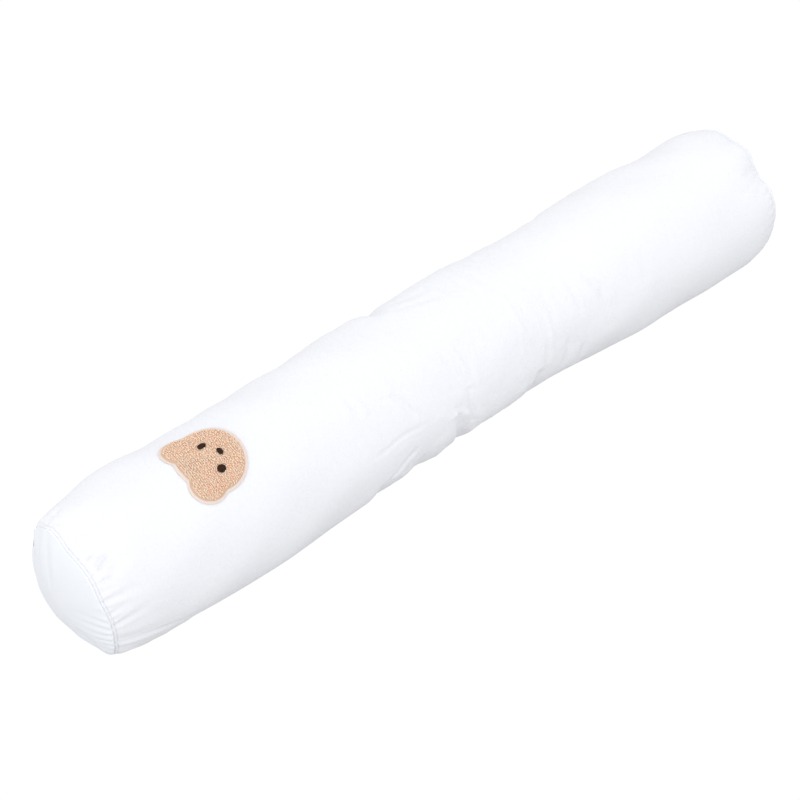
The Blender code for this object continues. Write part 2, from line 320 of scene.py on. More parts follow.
print("depth across a pucker, from its middle out", furrow(np.arange(4), GATHERED).round(2))

# %% Shape the seams
FADING = 1.8
FAN_START, FAN_GROWTH, FAN_END = 0.8, 0.55, 2
SLANT_END = 1.6
NEAR_REACH = 0.035
FAR_REACH = 0.018
AT_THE_SEAM = 0.18
SWELL = 0.0028
PUCKER_RIM_POWER = 8
WOBBLES = {"near": NEAR_WOBBLE, "far": FAR_WOBBLE}


def turn_between(angle, other):
    """The shorter way round from one angle to the other, in degrees."""
    return (angle - other + 180) % 360 - 180


def wobble(angle, rows, column):
    """How far a seam leaves its circle, read from a column of its table as a closed smooth curve."""
    turned = [row._replace(angle=row.angle - 360) for row in rows[-2:]]
    turned += rows
    turned += [row._replace(angle=row.angle + 360) for row in rows[:2]]
    return smooth_values(angle, [row.angle for row in turned], [getattr(row, column) * MM for row in turned])


def wobble_left(station, share):
    """How much of a seam's wobble is left some way along the tube, or in from the panel's rim."""
    inboard = np.maximum(HALF_TUBE - np.abs(station), 0)
    return np.exp(-((inboard / np.where(station < 0, NEAR_REACH, FAR_REACH)) ** 2)) * share**2


def puckered(inboard, angle, rows):
    """How far the puckers move the cloth at a distance inboard of their seam."""
    out = np.zeros(np.broadcast(inboard, angle).shape)
    deepening = 1 - (1 - AT_THE_SEAM) * np.exp(-((inboard / SWELL) ** 2))
    for row in rows:
        down = inboard / (row.length * MM)
        fan = row.width * (FAN_START + FAN_GROWTH * np.clip(down, 0, FAN_END))
        across = turn_between(angle, row.angle + row.slant * np.clip(down, 0, SLANT_END)) / fan
        out -= row.depth * MM * np.exp(-(down**FADING)) * deepening * furrow(across, GATHERED)
    return out


def seam_relief(station, angle, share):
    """How far the seams move the cloth in or out.

    On an end, share runs from 0 in the panel's middle to just under 1 at its rim. On the tube it is 1.
    """
    inboard = np.maximum(HALF_TUBE - np.abs(station), 0)
    left = wobble_left(station, share)
    near, far = (
        wobble(angle, WOBBLES[end], "out") * left
        + puckered(inboard, angle, PUCKERS[end]) * share**PUCKER_RIM_POWER
        for end in ("near", "far")
    )
    return np.where(station < 0, near, far)


def seam_lean(station, angle, share):
    """How far the seams' wobble moves the cloth along the tube, towards its middle."""
    near, far = (wobble(angle, WOBBLES[end], "inboard") for end in ("near", "far"))
    return np.where(station < 0, near, -far) * wobble_left(station, share)


beside_seam = np.full(3, 0.004 - HALF_TUBE)
print("relief 4 mm from the near seam", seam_relief(beside_seam, np.array([0, 60, 120]), 1.0).round(4))

# %% [markdown]
# ## Creases
#
# Where the filling is thin, the cloth breaks into creases and small ridges, most of them across the middle.
# Each is a path of a few points on the unrolled cloth. A crease leans: the cloth on one side rolls over it
# and drops steeply, and the other side climbs back slowly. A negative depth makes a ridge, and a path of one
# short step makes a round lobe.

# %% Table of creases
Crease = namedtuple("Crease", "path width depth start end lean", defaults=(0.0, 0.0, 0.0))

# Path points are (mm from the middle, degrees). Width and depth are in mm. Start and end are the shares of
# the depth left at the ends, none where a row doesn't say. A lean of -0.6 makes the flank towards the near
# end four times as steep as the other, where the path runs down the front.
CREASES = [
    # Dimples beside the seams
    Crease([(-393, 32), (-387, 30), (-380, 28), (-374, 27)], 4.0, 4.8, 0.3, 0.1, 0.3),
    Crease([(-394, 21), (-390, 21), (-385, 21)], 2.7, 3.0, 0.3, 0.1),
    Crease([(-389, 25.5), (-382, 24)], 2.2, -1.1, 0.2, 0.1),
    Crease([(-390, 36), (-383, 34), (-376, 32)], 2.4, -1.3, 0.2, 0.1),
    Crease([(-394, 41), (-389, 41), (-384, 42)], 2.2, 2.4, 0.3, 0.1),
    Crease([(-386, 41), (-376, 36), (-364, 31)], 5.5, 1.9, 0.1),
    Crease([(-390, 3), (-386, 2), (-381, 1)], 2.4, 1.0, 0.2),
    Crease([(-392, 12), (-387, 12)], 2.4, 1.1, 0.2, 0.1),
    Crease([(-390, -28), (-382, -28)], 3.2, 1.8, 0.2, 0.1),
    Crease([(-394, -15), (-388, -15)], 2.2, 1.5, 0.2, 0.1),
    Crease([(388, 31), (382, 33), (376, 33)], 3.4, 0.9, 0.4, 0.1),
    Crease([(381, 42), (374, 43), (366, 42)], 4.0, 0.7, 0.3, 0.2),
    Crease([(386, 52), (379, 53)], 3.6, 0.5, 0.3, 0.2),
    # The swelling of the near end, low at the front
    Crease([(-364, 124), (-342, 122), (-320, 120)], 20, -2.0, 0.3, 0.3),
    # The deep dent in the middle of the front, and the lobe of cloth that rolls over it
    Crease([(-20, 84), (-19, 92), (-17, 100), (-15, 110), (-15, 124)], 7.5, 4.4, 0.6, 0.6, -0.6),
    Crease([(-42, 88), (-39, 98), (-37, 110), (-37, 126)], 13, -1.8, 0.1, 0.9),
    Crease([(-46, 68), (-38, 74), (-30, 80), (-27, 88)], 4.5, -0.6, 0.0, 0.2),
    Crease([(1, 104), (2, 116), (2, 128)], 6, -1.5, 0.0, 0.8),
    # The thin folded crease beside it, with its hook, and the streaks above
    Crease([(-6, 60), (-4, 68), (-5, 77), (-4, 90), (-1, 97)], 2.1, 1.5, 0.1, 0.6, -0.3),
    Crease([(-1, 97), (3, 98), (8, 98)], 2.3, 0.3, 0.6),
    Crease([(-26, 79), (-17, 80), (-9, 86), (-3, 92)], 3.4, -1.3, 0.2, 0.3),
    Crease([(-4, 66), (1, 66), (6, 71)], 2.2, 0.6, 0.4),
    Crease([(-15, 24), (-13, 34), (-12, 43), (-9, 53), (-5, 62)], 2.4, 0.8, 0.0, 0.1),
    Crease([(-10, 32), (-8, 44), (-5, 55)], 2.2, -0.4),
    Crease([(-1, 28), (0, 40), (2, 50), (4, 60)], 2.3, -0.9),
    Crease([(5, 40), (7, 52), (9, 62)], 3.0, 0.5),
    Crease([(8, 70), (12, 78), (13, 90)], 5, -0.4),
    Crease([(22, 48), (26, 60), (28, 74)], 8, 0.5),
    Crease([(47, 31), (60, 33), (71, 41)], 4.5, 0.45),
    # The hooked crease to the near side of the dent
    Crease([(-88, 38), (-77, 41), (-70, 48), (-66, 56), (-61, 66)], 2.8, 1.8, 0.1, 0.2, 0.25),
    Crease([(-61, 71), (-76, 69), (-91, 69), (-106, 71), (-124, 70)], 2.3, 0.85, 0.6, 0.1, 0.2),
    Crease([(-70, 76), (-86, 78), (-104, 80)], 4.5, -0.35),
    Crease([(-66, 85), (-75, 89), (-85, 94), (-97, 101), (-112, 109)], 2.9, 2.2, 0.05, 0.8, 0.2),
    Crease([(-80, 99), (-89, 103), (-98, 109)], 5.5, -0.5, 0.0, 0.3),
    Crease([(-60, 100), (-61, 110), (-62, 124)], 7, 1.5, 0.0, 0.8),
    Crease([(-80, 104), (-81, 114), (-82, 126)], 10, -1.3, 0.0, 0.9),
    Crease([(-104, 100), (-108, 110), (-112, 124)], 8, 3.1, 0.0, 0.8),
    # Short ridges above it
    Crease([(-126, 17), (-124, 27), (-122, 38)], 3.4, -0.9),
    Crease([(-114, 24), (-111, 31), (-107, 42)], 3.2, -1.1),
    Crease([(-118, 22), (-117, 32), (-114, 42)], 3.0, 0.6),
    Crease([(-84, 21), (-79, 30), (-73, 40)], 4.0, -0.7),
    Crease([(-96, 25), (-91, 34), (-86, 44)], 4.5, 0.4),
    # The second dent, and the ridge that runs down to it
    Crease([(86, 87), (84, 94), (81, 101), (79, 110), (78, 124)], 6.5, 4.2, 0.0, 0.6, -0.5),
    Crease([(92, 90), (90, 98), (88, 106)], 3.2, -0.7, 0.0, 0.3),
    Crease([(64, 92), (62, 104), (60, 116)], 9, -1.2, 0.0, 0.5),
    Crease([(75, 22), (74, 38), (76, 52), (82, 70)], 2.6, -0.95, 0.2),
    Crease([(69, 28), (69, 42), (71, 54)], 2.6, 0.4),
    Crease([(66, 58), (69, 74), (76, 90)], 2.2, -0.7, 0.0, 0.2),
    Crease([(95, 66), (93, 79), (90, 94)], 2.4, 0.8, 0.0, 0.3, -0.3),
    Crease([(99, 78), (99, 90), (98, 102)], 3.2, -0.5, 0.0, 0.3),
    Crease([(121, 70), (120, 80), (118, 92), (113, 106)], 2.9, 1.3, 0.0, 0.5, -0.3),
    Crease([(141, 86), (139, 96), (135, 112)], 2.9, 1.5, 0.0, 0.5, -0.3),
    Crease([(130, 84), (129, 96), (126, 108)], 4.5, -0.7, 0.0, 0.3),
    Crease([(115, 24), (112, 36), (111, 48), (108, 60)], 3.0, 0.9),
    Crease([(106, 44), (104, 58), (103, 76)], 2.6, -0.9),
    Crease([(140, 26), (142, 40), (141, 52), (142, 66)], 3.0, 1.2, 0.0, 0.0, -0.2),
    Crease([(146, 36), (146, 52), (147, 72)], 2.6, -0.45),
    Crease([(159, 28), (164, 42), (169, 54), (170, 66)], 2.8, 2.2, 0.1, 0.2, -0.2),
    Crease([(170, 60), (171, 74), (168, 90)], 2.8, 0.8, 0.3),
    Crease([(174, 50), (176, 66), (175, 84)], 3.2, -0.7),
    Crease([(210, 36), (206, 52), (204, 68)], 3.4, 0.8),
    Crease([(227, 40), (223, 54), (220, 68)], 3.8, 0.7),
    Crease([(232, 66), (233, 77), (231, 90)], 5, 0.8),
    Crease([(176, 60), (178, 74), (177, 90)], 7, 0.5, 0.0, 0.2),
    # Flatter places along the back
    Crease([(-310, -55), (-255, -55), (-205, -55)], 26, 2.1),
    Crease([(-215, -53), (-165, -52), (-105, -51)], 26, 2.3),
    Crease([(-66, -52), (-58, -52)], 14, 1.4, 0.3, 0.3),
    Crease([(82, -53), (98, -53), (114, -52)], 15, 2.5, 0.2, 0.2),
    Crease([(172, -54), (184, -54), (196, -53)], 15, 2.3, 0.2, 0.2),
    Crease([(244, -57), (268, -54), (294, -50)], 15, 1.5, 0.2, 0.3),
    # The notch at the back and the faint lines that run to it
    Crease([(-29, -20), (-27, -34), (-24, -56), (-22, -84)], 8, 4.4, 0.0, 0.4, 0.35),
    Crease([(-43, -24), (-45, -40), (-44, -62)], 7, -1.2, 0.0, 0.1),
    Crease([(-18, -24), (-8, -18), (8, -14), (30, -8)], 4.0, 1.0, 0.2),
    Crease([(-14, -32), (8, -26), (34, -22)], 5, 0.9, 0.2),
    Crease([(-10, -18), (10, -9), (36, -2)], 4.5, -0.5),
    Crease([(148, -88), (152, -108), (158, -134)], 8, 2.4, 0.0, 0.3, 0.3),
    Crease([(-186, -96), (-180, -118), (-172, -142)], 8, 2.2, 0.0, 0.3, -0.3),
    Crease([(62, -108), (56, -128), (46, -152)], 8, 2.2, 0.0, 0.3, 0.3),
]
UNROLLED_RADIUS = 0.0755
CREASE_STEPS = 24
END_FADE = 0.3
CREASED = Furrow(0.14, 1.9, 0.8)
REACH = 4
print("creases and ridges", len(CREASES))


# %% Press the creases in
def eased(t):
    t = np.clip(t, 0, 1)
    return t * t * (3 - 2 * t)


def smooth_path(points, steps):
    """Evenly numbered places on a smooth curve through a few points."""
    points = np.asarray(points, float)
    lengths = np.linalg.norm(np.diff(points, axis=0), axis=1)
    marks = np.concatenate([[0.0], np.cumsum(lengths)])
    at = np.linspace(0, marks[-1], steps + 1)
    return np.stack([smooth_values(at, marks, points[:, k]) for k in range(points.shape[1])], axis=1)


def beside_path(x, y, path):
    """For each place, how far it is from the path, on which side, and how far along the path it lies."""
    nearest = np.full(x.shape, np.inf)
    side = np.ones(x.shape)
    along = np.zeros(x.shape)
    for i, (start, stop) in enumerate(zip(path[:-1], path[1:])):
        run, rise = stop - start
        dx, dy = x - start[0], y - start[1]
        t = np.clip((dx * run + dy * rise) / (run * run + rise * rise), 0, 1)
        away = np.hypot(dx - t * run, dy - t * rise)
        closer = away < nearest
        nearest = np.where(closer, away, nearest)
        side = np.where(closer, np.sign(run * dy - rise * dx), side)
        along = np.where(closer, (i + t) / (len(path) - 1), along)
    return nearest, side, along


def pressed(x, y, row, points):
    """How far one crease moves each place of a flat cloth, the path's points being in metres there."""
    out = np.zeros(x.shape)
    width = row.width * MM
    reach = REACH * width
    low, high = np.min(points, axis=0) - reach, np.max(points, axis=0) + reach
    close = (x > low[0]) & (x < high[0]) & (y > low[1]) & (y < high[1])
    away, side, along = beside_path(x[close], y[close], smooth_path(points, CREASE_STEPS))
    across = away / (width * (1 + row.lean * side))
    left = row.start + (1 - row.start) * eased(along / END_FADE)
    left *= row.end + (1 - row.end) * eased((1 - along) / END_FADE)
    out[close] = -row.depth * MM * left * furrow(across, CREASED)
    return out


def crease_relief(station, angle):
    """How far the creases and ridges move the cloth in or out."""
    out = np.zeros(station.shape)
    for row in CREASES:
        middle = row.path[len(row.path) // 2][1]
        around = np.radians(turn_between(angle, middle)) * UNROLLED_RADIUS
        points = [(at * MM, math.radians(turn - middle) * UNROLLED_RADIUS) for at, turn in row.path]
        out += pressed(station, around, row, points)
    return out


print("relief in the first dent", crease_relief(np.array([-0.018]), np.array([100])).round(4))

# %% [markdown]
# ## Lumps and ripples
#
# Under tight cotton the fibre filling shows as very low, wide swellings. A sum of slow waves makes them, and
# each fits a whole number of times round the tube, so there is no step where the ends of the cloth meet.
# Round the creased middle the cloth is slacker and also ripples. The ripples are shorter waves that run
# round the tube, and a third, slower sum of waves makes them stronger in some places than in others.

# %% Add lumps and ripples
Waves = namedtuple("Waves", "count depth slowest fastest most_around seed")
LUMPS = Waves(16, 0.00022, 8, 75, 8, 12)
RIPPLES = Waves(36, 0.000026, 180, 560, 15, 31)
STRONGER = Waves(10, 0.40, 15, 75, 6, 44)
MEAN_STRENGTH, MOST_STRENGTH = 0.6, 1.6
RIPPLED_MIDDLE, RIPPLED_REACH = 0.020, 0.135
RIPPLED_ELSEWHERE = 0.12


def waves(station, angle, kind):
    chance = np.random.default_rng(kind.seed)
    out = np.zeros(station.shape)
    for _ in range(kind.count):
        around = chance.integers(1, kind.most_around + 1) * chance.choice([-1, 1])
        along = chance.uniform(kind.slowest, kind.fastest)
        phase = chance.uniform(0, 2 * math.pi)
        out += kind.depth * np.sin(along * station + np.radians(around * angle) + phase)
    return out


def unevenness(station, angle):
    """Lumps all over, and ripples round the creased middle."""
    slack = np.exp(-(((station - RIPPLED_MIDDLE) / RIPPLED_REACH) ** 4)) + RIPPLED_ELSEWHERE
    strength = np.clip(MEAN_STRENGTH + waves(station, angle, STRONGER), 0, MOST_STRENGTH)
    return waves(station, angle, LUMPS) + waves(station, angle, RIPPLES) * slack * strength


print("lumps round the middle", unevenness(np.zeros(4), np.arange(0, 360, 90)).round(5))

# %% [markdown]
# ## From a plan to the bolster
#
# Every piece of this pillow is planned on flat or straight cloth and then laid on the bolster by the same
# function, as the maker lays cloth on the filling. So the panels meet the tube and the patch follows it.

# %% Lay points on the bolster
CONTACT_EASE = 0.004
CALM_BY_SEAM = 0.05


def rest_on_floor(z, floor):
    """Heights with what would sink below the floor pressed flat, and a soft turn where it lifts off."""
    lifted = z - floor
    eased_turn = (lifted + CONTACT_EASE) ** 2 / (4 * CONTACT_EASE)
    return floor + np.where(lifted > CONTACT_EASE, lifted, np.where(lifted < -CONTACT_EASE, 0, eased_turn))


def on_bolster(station, angle, radius, share=1.0, floor=0.0):
    """Places of points that lie at a radius round the tube's middle line, once the cloth has its folds."""
    station, angle, radius, share = np.broadcast_arrays(
        *(np.asarray(a, float) for a in (station, angle, radius, share))
    )
    inside = np.clip(station, -HALF_TUBE, HALF_TUBE)
    on_tube = share >= 1.0
    out = radius + seam_relief(station, angle, share)
    calm = eased((HALF_TUBE - np.abs(inside)) / CALM_BY_SEAM)
    out += np.where(on_tube, crease_relief(inside, angle) + unevenness(inside, angle) * calm, 0)
    turn = np.radians(angle)
    y = from_sections(inside, "side") - out * np.sin(turn)
    z = rest_on_floor(AXIS_HEIGHT + out * np.cos(turn), floor)
    return np.stack([station + MIDDLE_X + seam_lean(station, angle, share), y, z], axis=-1)


print("top of the middle", on_bolster([0.0], [0.0], from_sections([0.0], "radius"))[0].round(4))

# %% [markdown]
# ## The tube
#
# The skin is a grid of rings. Rings are close by the seams, where the cloth turns into the groove, close
# across the creased middle, and further apart elsewhere. Under each panel the skin goes on as a plain dome,
# so the filled tube is one closed form.

# %% Angles round a ring
Stretch = namedtuple("Stretch", "start stop columns")
COLUMNS = [Stretch(-180, -62, 50), Stretch(-62, 124, 180), Stretch(124, 180, 24)]


def ring_angles():
    """Angles of a ring's points from the underside round to it again, closest on the side with the folds."""
    parts = [np.linspace(part.start, part.stop, part.columns, endpoint=False) for part in COLUMNS]
    return np.concatenate([*parts, [180.0]])


print("points in a ring", len(ring_angles()) - 1)

# %% Profile of a panel
EDGE_STEPS = (0.35, 0.7, 1.0)
UNDER_PANEL = 0.0026
DOME_SOFTNESS = 1.8
EDGE_RISE = 0.0018
EDGE_TUCK = 0.0008


def dome(seam_radius, bulge, shares):
    """Rows (radius, height over the seam) of a panel's outer face, from its middle to its tucked rim."""
    turn = np.asarray(shares) * math.pi / 2
    rim = seam_radius + EDGE_TUCK
    height = EDGE_RISE + (bulge - EDGE_RISE) * np.maximum(np.cos(turn), 0) ** DOME_SOFTNESS
    edge = [(seam_radius + EDGE_TUCK * (1 - t * t), EDGE_RISE * (1 - t)) for t in EDGE_STEPS]
    return np.concatenate([np.stack([rim * np.sin(turn), height], axis=1), edge])


def drawn_in(profile, inset):
    """The same rows moved square to their line, inwards, by the inset."""
    run, rise = np.gradient(profile, axis=0).T
    length = np.hypot(run, rise)
    out, up = -rise / length, run / length
    return np.stack([np.maximum(profile[:, 0] - inset * out, 0), profile[:, 1] - inset * up], axis=1)


print("near panel half way out", dome(float(rolled_radius(-HALF_TUBE)), NEAR_BULGE, [0.5])[0].round(4))


# %% Meshes of rings
def ring_mesh(name, rings, uv, poles):
    """A mesh of closed rings of points, (rings, around, 3), with a pole point at each end that has one.

    uv holds (rings, around + 1, 2) places on the flat cloth, with the first column again at the last.
    """
    count, around = rings.shape[:2]
    points = [rings.reshape(-1, 3)]
    index = np.arange(count * around).reshape(count, around)
    after = np.roll(index, -1, axis=1)
    quads = np.stack([index[:-1], after[:-1], after[1:], index[1:]], axis=-1).reshape(-1, 4)
    quad_uv = np.stack([uv[:-1, :-1], uv[:-1, 1:], uv[1:, 1:], uv[1:, :-1]], axis=-2).reshape(-1, 2)
    faces = quads.tolist()
    all_uv = [quad_uv]
    for place, ring, flip in poles:
        at = count * around + len(points) - 1
        points.append(np.asarray(place, float).reshape(1, 3))
        pair = (after[ring], index[ring]) if flip else (index[ring], after[ring])
        faces += np.stack([np.full(around, at), *pair], axis=-1).tolist()
        ring_uv = uv[ring, :-1]
        middle = np.broadcast_to(ring_uv.mean(axis=0), ring_uv.shape)
        sides = (uv[ring, 1:], uv[ring, :-1]) if flip else (uv[ring, :-1], uv[ring, 1:])
        all_uv.append(np.stack([middle, *sides], axis=-2).reshape(-1, 2))
    mesh = bpy.data.meshes.new(name)
    mesh.from_pydata(np.concatenate(points).tolist(), [], faces)
    layer = mesh.uv_layers.new(name="cloth")
    layer.data.foreach_set("uv", np.concatenate(all_uv).ravel())
    mesh.shade_smooth()
    mesh.update()
    return mesh


def add_object(name, mesh):
    made = bpy.data.objects.new(name, mesh)
    bpy.context.scene.collection.objects.link(made)
    return made


def report(obj):
    triangles = sum(len(face.vertices) - 2 for face in obj.data.polygons)
    size = [round(x, 4) for x in obj.dimensions]
    print(obj.name, "triangles", triangles, "size", size)


# %% Build the tube
FIRST_STEP = 0.00028
STEP_GROWTH = 0.17
PLAIN_STEP = 0.0039
CREASED_STEP = 0.00145
CREASED_FROM, CREASED_TO = -0.130, 0.152
CAP_SHARES = (0.2, 0.4, 0.6, 0.8, 1.0)
JUST_INSIDE = 0.999


def tube_stations():
    """Distances from the middle, from the near seam to the far one."""
    found = [0.0]
    while found[-1] < 2 * HALF_TUBE:
        at = found[-1] - HALF_TUBE
        inboard = max(HALF_TUBE - abs(at), 0.0)
        widest = CREASED_STEP if CREASED_FROM < at < CREASED_TO else PLAIN_STEP
        past_band = max(inboard - BAND - 2 * STITCH_WIDTH, 0.0)
        found.append(found[-1] + min(widest, FIRST_STEP + STEP_GROWTH * past_band))
    found = np.array(found) * 2 * HALF_TUBE / found[-1]
    return found - HALF_TUBE


def cap(end, bulge, angles):
    """Rings of the plain dome under a panel, from its middle out, and the point in their middle."""
    profile = drawn_in(dome(float(rolled_radius(end * HALF_TUBE)), bulge, CAP_SHARES), UNDER_PANEL)
    radius, height = profile[:, :1], profile[:, 1:]
    share = radius / profile[-1][0] * JUST_INSIDE
    rings = on_bolster(end * (HALF_TUBE + height), angles[None, :], radius, share, UNDER_PANEL)
    middle = rings[0].mean(axis=0)
    middle[0] = MIDDLE_X + end * (HALF_TUBE + bulge - UNDER_PANEL)
    return rings, middle


def build_tube():
    flat_angles = ring_angles()
    angles = flat_angles[:-1]
    stations = tube_stations()
    near_cap, near_middle = cap(-1, NEAR_BULGE, angles)
    far_cap, far_middle = cap(1, FAR_BULGE, angles)
    wall = on_bolster(stations[:, None], angles[None, :], rolled_radius(stations)[:, None])
    rings = np.concatenate([near_cap, wall, far_cap[::-1]])
    along = np.concatenate([np.full(len(near_cap), -HALF_TUBE), stations, np.full(len(far_cap), HALF_TUBE)])
    uv = np.stack(np.meshgrid(np.radians(flat_angles) * UNROLLED_RADIUS, along), axis=-1)
    poles = [(near_middle, 0, True), (far_middle, len(rings) - 1, False)]
    return add_object("tube_cover", ring_mesh("tube_cover", rings, uv, poles))


tube = build_tube()
report(tube)

# %% [markdown]
# ## The end panels
#
# Each panel is a disc of one thin cloth, domed by the filling. Its outer face is a grid of rings, and
# Solidify gives it the cloth's thickness inwards. Small pleats run in from the seams, most of them at the
# near one's lower front. A few soft folds cross the near panel, and the far one is pressed in at its upper
# front. The folds use the tube's crease tool, on the flat disc.

# %% Tables of the panels' pleats and folds
Pleat = namedtuple("Pleat", "angle width depth length lean")

# Angle, width and lean in degrees, depth and length in mm
NEAR_PANEL_PLEATS = [
    Pleat(52, 2.4, 0.5, 8, 0),
    Pleat(64, 2.2, 0.7, 11, -3),
    Pleat(73, 1.8, 1.2, 22, -6),
    Pleat(79, 1.8, 1.5, 26, 0),
    Pleat(85, 1.8, 1.4, 24, 7),
    Pleat(92, 1.8, 1.4, 20, 9),
    Pleat(100, 2.2, 1.2, 18, 8),
    Pleat(110, 2.6, 0.9, 14, 4),
    Pleat(-12, 2.8, 0.8, 12, 0),
    Pleat(-24, 5, 1.6, 8, 0),
    Pleat(-36, 6, 1.8, 10, 0),
    Pleat(130, 4.0, 0.6, 12, 0),
    Pleat(200, 4.0, 0.6, 14, 0),
    Pleat(262, 4.0, 0.7, 16, 0),
]
FAR_PANEL_PLEATS = [
    Pleat(34, 4.0, 0.9, 16, 0),
    Pleat(58, 3.0, 0.5, 10, 2),
    Pleat(84, 3.0, 0.6, 12, 0),
    Pleat(128, 4.0, 0.7, 14, 0),
    Pleat(190, 4.0, 0.6, 14, 0),
    Pleat(250, 4.0, 0.7, 15, 0),
    Pleat(320, 4.0, 0.5, 12, 0),
]

# Path points are (mm to the front, mm up) from the panel's middle
NEAR_PANEL_FOLDS = [
    Crease([(-22, 63), (-15, 52), (-10, 40), (-6, 28), (-4, 12)], 3.2, 1.5, 0.3, 0.0, 0.3),
    Crease([(-26, 56), (-20, 40), (-17, 26), (-16, 10)], 3.6, -1.1, 0.1),
    Crease([(-9, 61), (-3, 46), (0, 32)], 4.5, -0.8, 0.1),
    Crease([(-52, 36), (-58, 20), (-59, 8), (-56, -4)], 9, 3.8, 0.3),
    Crease([(-42, -8), (-30, -20), (-12, -32), (6, -38)], 13, -1.8, 0.1),
    Crease([(14, -51), (27, -48), (36, -44)], 7, 3.6, 0.1, 0.3),
    Crease([(22, -15), (34, -24), (44, -32)], 7.5, 1.9, 0.1, 0.3),
    Crease([(50, -28), (47, -33)], 4.5, -1.2, 0.4, 0.3),
]
FAR_PANEL_FOLDS = [
    Crease([(20, 58), (38, 46), (50, 30)], 12, 4.2, 0.2, 0.2),
]
print("pleats", len(NEAR_PANEL_PLEATS), "on the near panel and", len(FAR_PANEL_PLEATS), "on the far one")

# %% Press the pleats and folds in
PLEATED = Furrow(0.3, 1.7, 0.7)
PLEAT_FAN = 0.6
PLEAT_RISE = 0.0015


def pleated(from_rim, angle, rows):
    """How far a panel's pleats press it in, by the distance from its rim."""
    out = np.zeros(np.broadcast(from_rim, angle).shape)
    rise = 1 - np.exp(-((from_rim / PLEAT_RISE) ** 2))
    for row in rows:
        down = from_rim / (row.length * MM)
        across = turn_between(angle, row.angle + row.lean * down) / (row.width * (1 + PLEAT_FAN * down))
        out += row.depth * MM * furrow(across, PLEATED) * np.exp(-(down**FADING)) * rise
    return out


def folded(radius, angle, rows):
    """How far a panel's folds press it in."""
    turn = np.radians(angle)
    front, up = radius * np.sin(turn), radius * np.cos(turn)
    out = np.zeros(front.shape)
    for row in rows:
        out -= pressed(front, up, row, [(x * MM, y * MM) for x, y in row.path])
    return out


lower_front = folded(np.array([0.055]), np.array([150]), NEAR_PANEL_FOLDS)
print("near panel's lower front is pressed in by", lower_front.round(4))

# %% Sew the end panels on
CLOTH = 0.0008
PANEL_RINGS = 44
RINGS_TO_RIM = 1.35
RIM_SHARE = 0.999999
RIM_HOLD = 0.5
RIM_DRAW = 0.6


def build_panel(name, end, bulge, pleats, folds):
    """A panel's object, and the radius of the disc that it is cut from."""
    flat_angles = ring_angles()
    angles = flat_angles[None, :-1]
    shares = 1 - (1 - np.linspace(0, 1, PANEL_RINGS + 1)[1:]) ** RINGS_TO_RIM
    seam_radius = float(rolled_radius(end * HALF_TUBE))
    profile = dome(seam_radius, bulge, shares)
    steps = np.hypot(*np.diff(profile, axis=0).T)
    arc = (profile[0][0] + np.concatenate([[0.0], np.cumsum(steps)]))[:, None]
    radius, height = profile[:, :1], profile[:, 1:]
    press = pleated(arc[-1] - arc, angles, pleats) + folded(radius, angles, folds)
    slope = np.minimum(radius / seam_radius, 1.0)
    at = end * (HALF_TUBE + height - press * (1 - RIM_HOLD * slope))
    share = np.minimum(radius / profile[-1][0], RIM_SHARE)
    rings = on_bolster(at, angles, radius - RIM_DRAW * press * slope, share)
    turn = np.radians(flat_angles)[None, :]
    uv = np.stack([arc * np.sin(turn), arc * np.cos(turn)], axis=-1)
    middle = rings[0].mean(axis=0)
    middle[0] = MIDDLE_X + end * (HALF_TUBE + bulge)
    if end > 0:
        rings, uv = rings[::-1], uv[::-1]
    poles = [(middle, len(rings) - 1 if end > 0 else 0, end < 0)]
    panel = add_object(name, ring_mesh(name, rings, uv, poles))
    thickness = panel.modifiers.new("cloth", "SOLIDIFY")
    thickness.thickness = CLOTH
    thickness.offset = -1.0
    cut = float(arc[-1, 0])
    print(name, "cut as a disc", round(2 * cut, 4), "across")
    return panel, cut


near_panel, near_cut = build_panel("panel_near_cover", -1, NEAR_BULGE, NEAR_PANEL_PLEATS, NEAR_PANEL_FOLDS)
far_panel, far_cut = build_panel("panel_far_cover", 1, FAR_BULGE, FAR_PANEL_PLEATS, FAR_PANEL_FOLDS)
report(near_panel)
report(far_panel)

# %% [markdown]
# ## Building with nodes
#
# Shader trees and Geometry Nodes trees are wired the same way, so a few small helpers serve both. The first
# adds a node, sets its options and joins its inputs to other nodes' outputs or to plain values. The others
# shorten what many trees here need.

# %% Helpers for node trees
NUMBER, WHOLE, PLACE = "NodeSocketFloat", "NodeSocketInt", "NodeSocketVector"
FINISH, SHAPE = "NodeSocketMaterial", "NodeSocketGeometry"


def add_node(tree, kind, inputs=None, **options):
    node = tree.nodes.new(kind)
    for name, value in options.items():
        setattr(node, name, value)
    for name, value in (inputs or {}).items():
        if isinstance(value, bpy.types.NodeSocket):
            tree.links.new(value, node.inputs[name])
        else:
            node.inputs[name].default_value = value
    return node


def math_node(tree, operation, first, second=0.0):
    return add_node(tree, "ShaderNodeMath", {0: first, 1: second}, operation=operation).outputs[0]


def vector_node(tree, x=0.0, y=0.0, z=0.0):
    return add_node(tree, "ShaderNodeCombineXYZ", {0: x, 1: y, 2: z}).outputs[0]


def scaled(tree, vector, scale):
    return add_node(tree, "ShaderNodeVectorMath", {0: vector, 1: scale}, operation="MULTIPLY").outputs[0]


def parts_of(tree, vector):
    return add_node(tree, "ShaderNodeSeparateXYZ", {0: vector}).outputs


